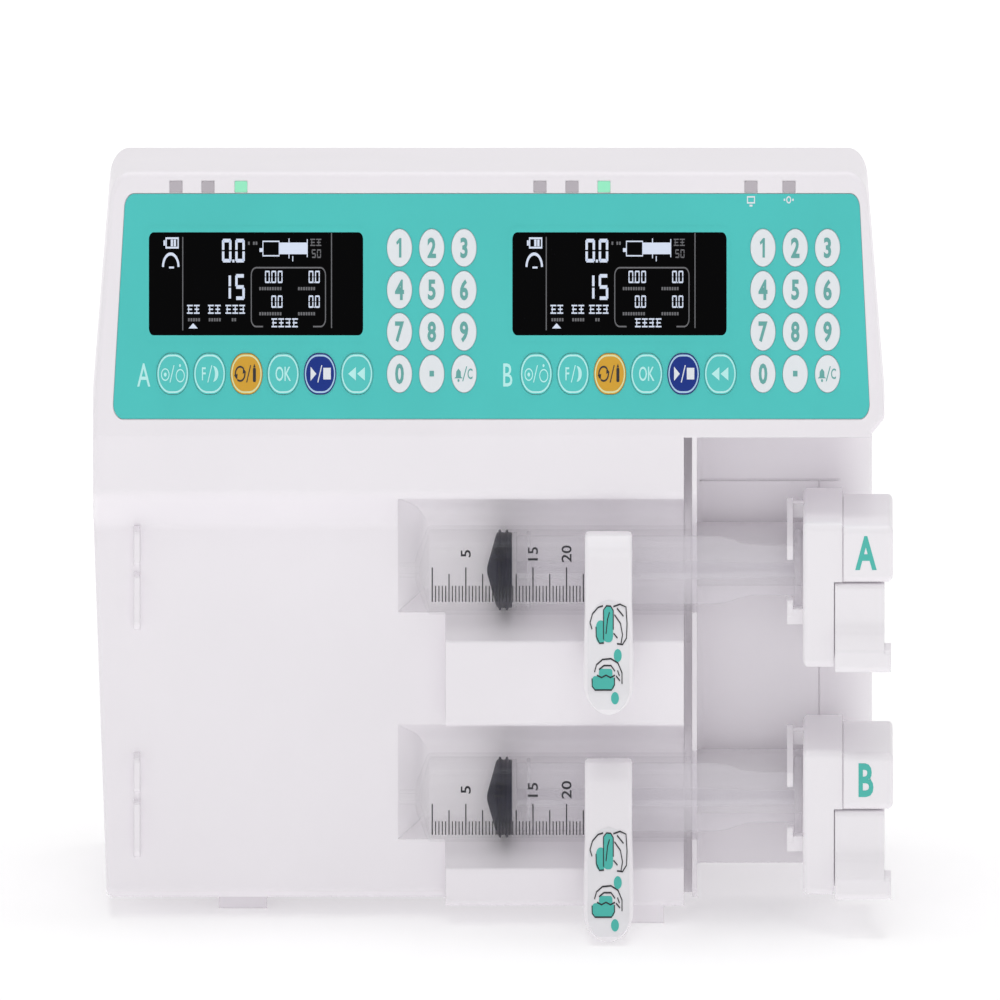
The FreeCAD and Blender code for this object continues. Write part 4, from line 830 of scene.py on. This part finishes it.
def clamp_pictures(name, body, on_front):
    """Two plain drawings of a clamp being lifted and turned, each with a coloured dot."""
    fill, line = Shape(), Shape()
    for outline in (rounded(-2.0, -13.6, 1.8, -4.8, 1.4, 4), rounded(-5.0, -13.9, -1.2, -8.2, 1.7, 4),
                    rounded(-6.6, -25.4, 2.4, -22.0, 1.2, 4), rounded(-3.8, -22.6, 1.6, -20.2, 0.9, 4),
                    disc(3.7, -16.9, 1.6, 20), disc(2.6, -27.6, 1.6, 20)):
        fill.slab(outline, on_front, 0.17, 0.27)
    fill.finish(f"clamp_picture_fill_{name}", INK_TEAL, body)
    strokes = [
        [(-2.0, -13.0), (-2.0, -5.6), (-0.8, -4.6), (0.9, -4.7), (1.9, -5.8), (1.9, -10.5)],
        [(-5.0, -9.8), (-4.9, -12.2), (-3.6, -13.9), (-1.8, -13.8)],
        [(-7.4, -8.8), (-6.4, -6.6), (-4.2, -5.0), (-2.2, -4.6)],
        [(-7.4, -8.8), (-6.6, -10.4)],
        [(1.9, -4.8), (4.6, -4.2), (7.0, -4.9), (7.4, -9.0), (7.2, -12.6), (5.6, -14.2), (3.4, -14.0)],
        [(2.4, -6.8), (4.8, -9.0), (5.6, -11.8), (5.0, -14.0)],
        [(3.4, -5.2), (6.0, -7.2)],
        [(2.0, -11.4), (3.6, -12.6)],
        [(-1.0, -11.6), (-0.4, -8.0), (0.4, -6.2)],
        [(-5.6, -21.0), (-4.8, -19.2), (-2.4, -17.9), (1.0, -17.7), (3.8, -18.8), (5.4, -21.2), (5.4, -24.0)],
        [(-3.8, -20.4), (-1.8, -19.4), (1.0, -19.4), (2.6, -20.8)],
        [(-6.6, -22.6), (-6.5, -24.6), (-5.4, -25.5), (1.2, -25.5), (2.4, -24.2), (2.4, -22.4)],
        [(-4.6, -21.8), (-2.8, -22.4), (-1.0, -21.8), (0.8, -22.4), (2.6, -21.8)],
        [(3.0, -22.0), (4.6, -23.2)],
        [(3.6, -20.6), (4.4, -22.0)],
    ]
    for points in strokes:
        line.slab(band(points, 0.40), on_front, 0.275, 0.305)
    line.finish(f"clamp_picture_lines_{name}", INK_BLACK, body)


for name, axis_z in CHANNEL_Z.items():
    clamp_arm(name, axis_z)


# ---- camera, lights and floor ----

PITCH = math.radians(10)        # how far the main view looks down
STRETCH = 1.5                   # the main view's height over its true height
VIEW_SIZE, VIEW_DISTANCE = 0.4, 2.0
VIEW_TARGET = Vector((0.0028, -0.036, 0.1129))
LIT_POINT = Vector((0, -0.03, 0.09))
FLOOR_HALF, FLOOR_Z = 6.0, -0.0002


def stretched_camera():
    """An orthographic view from the front, stretched upwards by leaning its frame back."""
    data = bpy.data.cameras.new("camera")
    data.type = "ORTHO"
    data.ortho_scale = VIEW_SIZE
    data.clip_start, data.clip_end = 0.01, 20
    camera = bpy.data.objects.new("camera", data)
    bpy.context.scene.collection.objects.link(camera)
    bpy.context.scene.camera = camera
    pivot = bpy.data.objects.new("camera_pivot", None)
    bpy.context.scene.collection.objects.link(pivot)
    camera.parent = pivot
    right = Vector((1, 0, 0))
    back = Vector((0, -math.cos(PITCH), math.sin(PITCH)))
    up = back.cross(right)
    slant = math.acos(1 / STRETCH)
    leaning = up * math.cos(slant) + back * math.sin(slant)
    matrix = Matrix((right, leaning, back)).transposed().to_4x4()
    matrix.translation = VIEW_TARGET + back * VIEW_DISTANCE
    camera.matrix_parent_inverse = matrix


def softbox(name, place, wide, tall, watts):
    data = bpy.data.lights.new(name, "AREA")
    data.shape = "RECTANGLE"
    data.size, data.size_y = wide, tall
    data.energy = watts
    light = bpy.data.objects.new(name, data)
    light.location = place
    light.rotation_euler = (LIT_POINT - light.location).to_track_quat("-Z", "Y").to_euler()
    bpy.context.scene.collection.objects.link(light)


def floor_paper():
    """White paper with painted light: it glows a little more the further it is from the pump, standing in for
    a lit studio sweep.
    """
    paper = surface("floor_paper", (0.93, 0.93, 0.93), 0.75, mottle=0.004, grain=0.05, specular=0.1, glow=0.5)
    nodes, links = paper.node_tree.nodes, paper.node_tree.links
    place = nodes.new("ShaderNodeTexCoord")
    away = nodes.new("ShaderNodeVectorMath")
    away.operation = "LENGTH"
    links.new(place.outputs["Object"], away.inputs[0])
    # Painted light: the paper's glow is weaker near the pump and stronger far from it.
    painted_floor_light = nodes.new("ShaderNodeMapRange")
    painted_floor_light.inputs["From Min"].default_value, painted_floor_light.inputs["From Max"].default_value = 0.30, 1.30
    painted_floor_light.inputs["To Min"].default_value, painted_floor_light.inputs["To Max"].default_value = 0.25, 0.62
    links.new(away.outputs["Value"], painted_floor_light.inputs["Value"])
    links.new(painted_floor_light.outputs["Result"], nodes["Principled BSDF"].inputs["Emission Strength"])
    return paper


def backdrop():
    """A pale floor, whose paper carries painted light that rises with distance from the pump."""
    bm = bmesh.new()
    outline = rectangle(-FLOOR_HALF, -FLOOR_HALF, FLOOR_HALF, FLOOR_HALF)
    bm.faces.new([bm.verts.new((x, y, FLOOR_Z)) for x, y in outline])
    mesh = bpy.data.meshes.new("floor")
    bm.to_mesh(mesh)
    bm.free()
    floor = bpy.data.objects.new("floor", mesh)
    bpy.context.scene.collection.objects.link(floor)
    mesh.materials.append(floor_paper())


stretched_camera()
backdrop()
# Name, place, width, height and watts of each light, in metres.
for light in (
    ("key_light", (0.0, -1.15, 1.60), 1.8, 0.75, 3.3),
    ("front_fill", (0.0, -2.3, 0.45), 2.2, 0.8, 3.7),
    ("left_fill", (-1.8, -0.5, 0.4), 1.0, 1.0, 1.8),
    ("right_fill", (1.8, -0.5, 0.4), 1.0, 1.0, 2.2),
    ("top_light", (0.0, 0.2, 1.9), 1.8, 1.2, 14.0),
    ("back_fill", (0.0, 2.2, 0.60), 2.6, 1.1, 2.6),
):
    softbox(*light)
world = bpy.data.worlds.new("studio")
world.use_nodes = True
world.node_tree.nodes["Background"].inputs["Color"].default_value = (1.0, 0.99, 1.0, 1)
world.node_tree.nodes["Background"].inputs["Strength"].default_value = 0.44
bpy.context.scene.world = world
bpy.context.scene.view_settings.view_transform = "Standard"
bpy.context.scene.view_settings.look = "None"
bpy.context.scene.cycles.transparent_max_bounces = 48
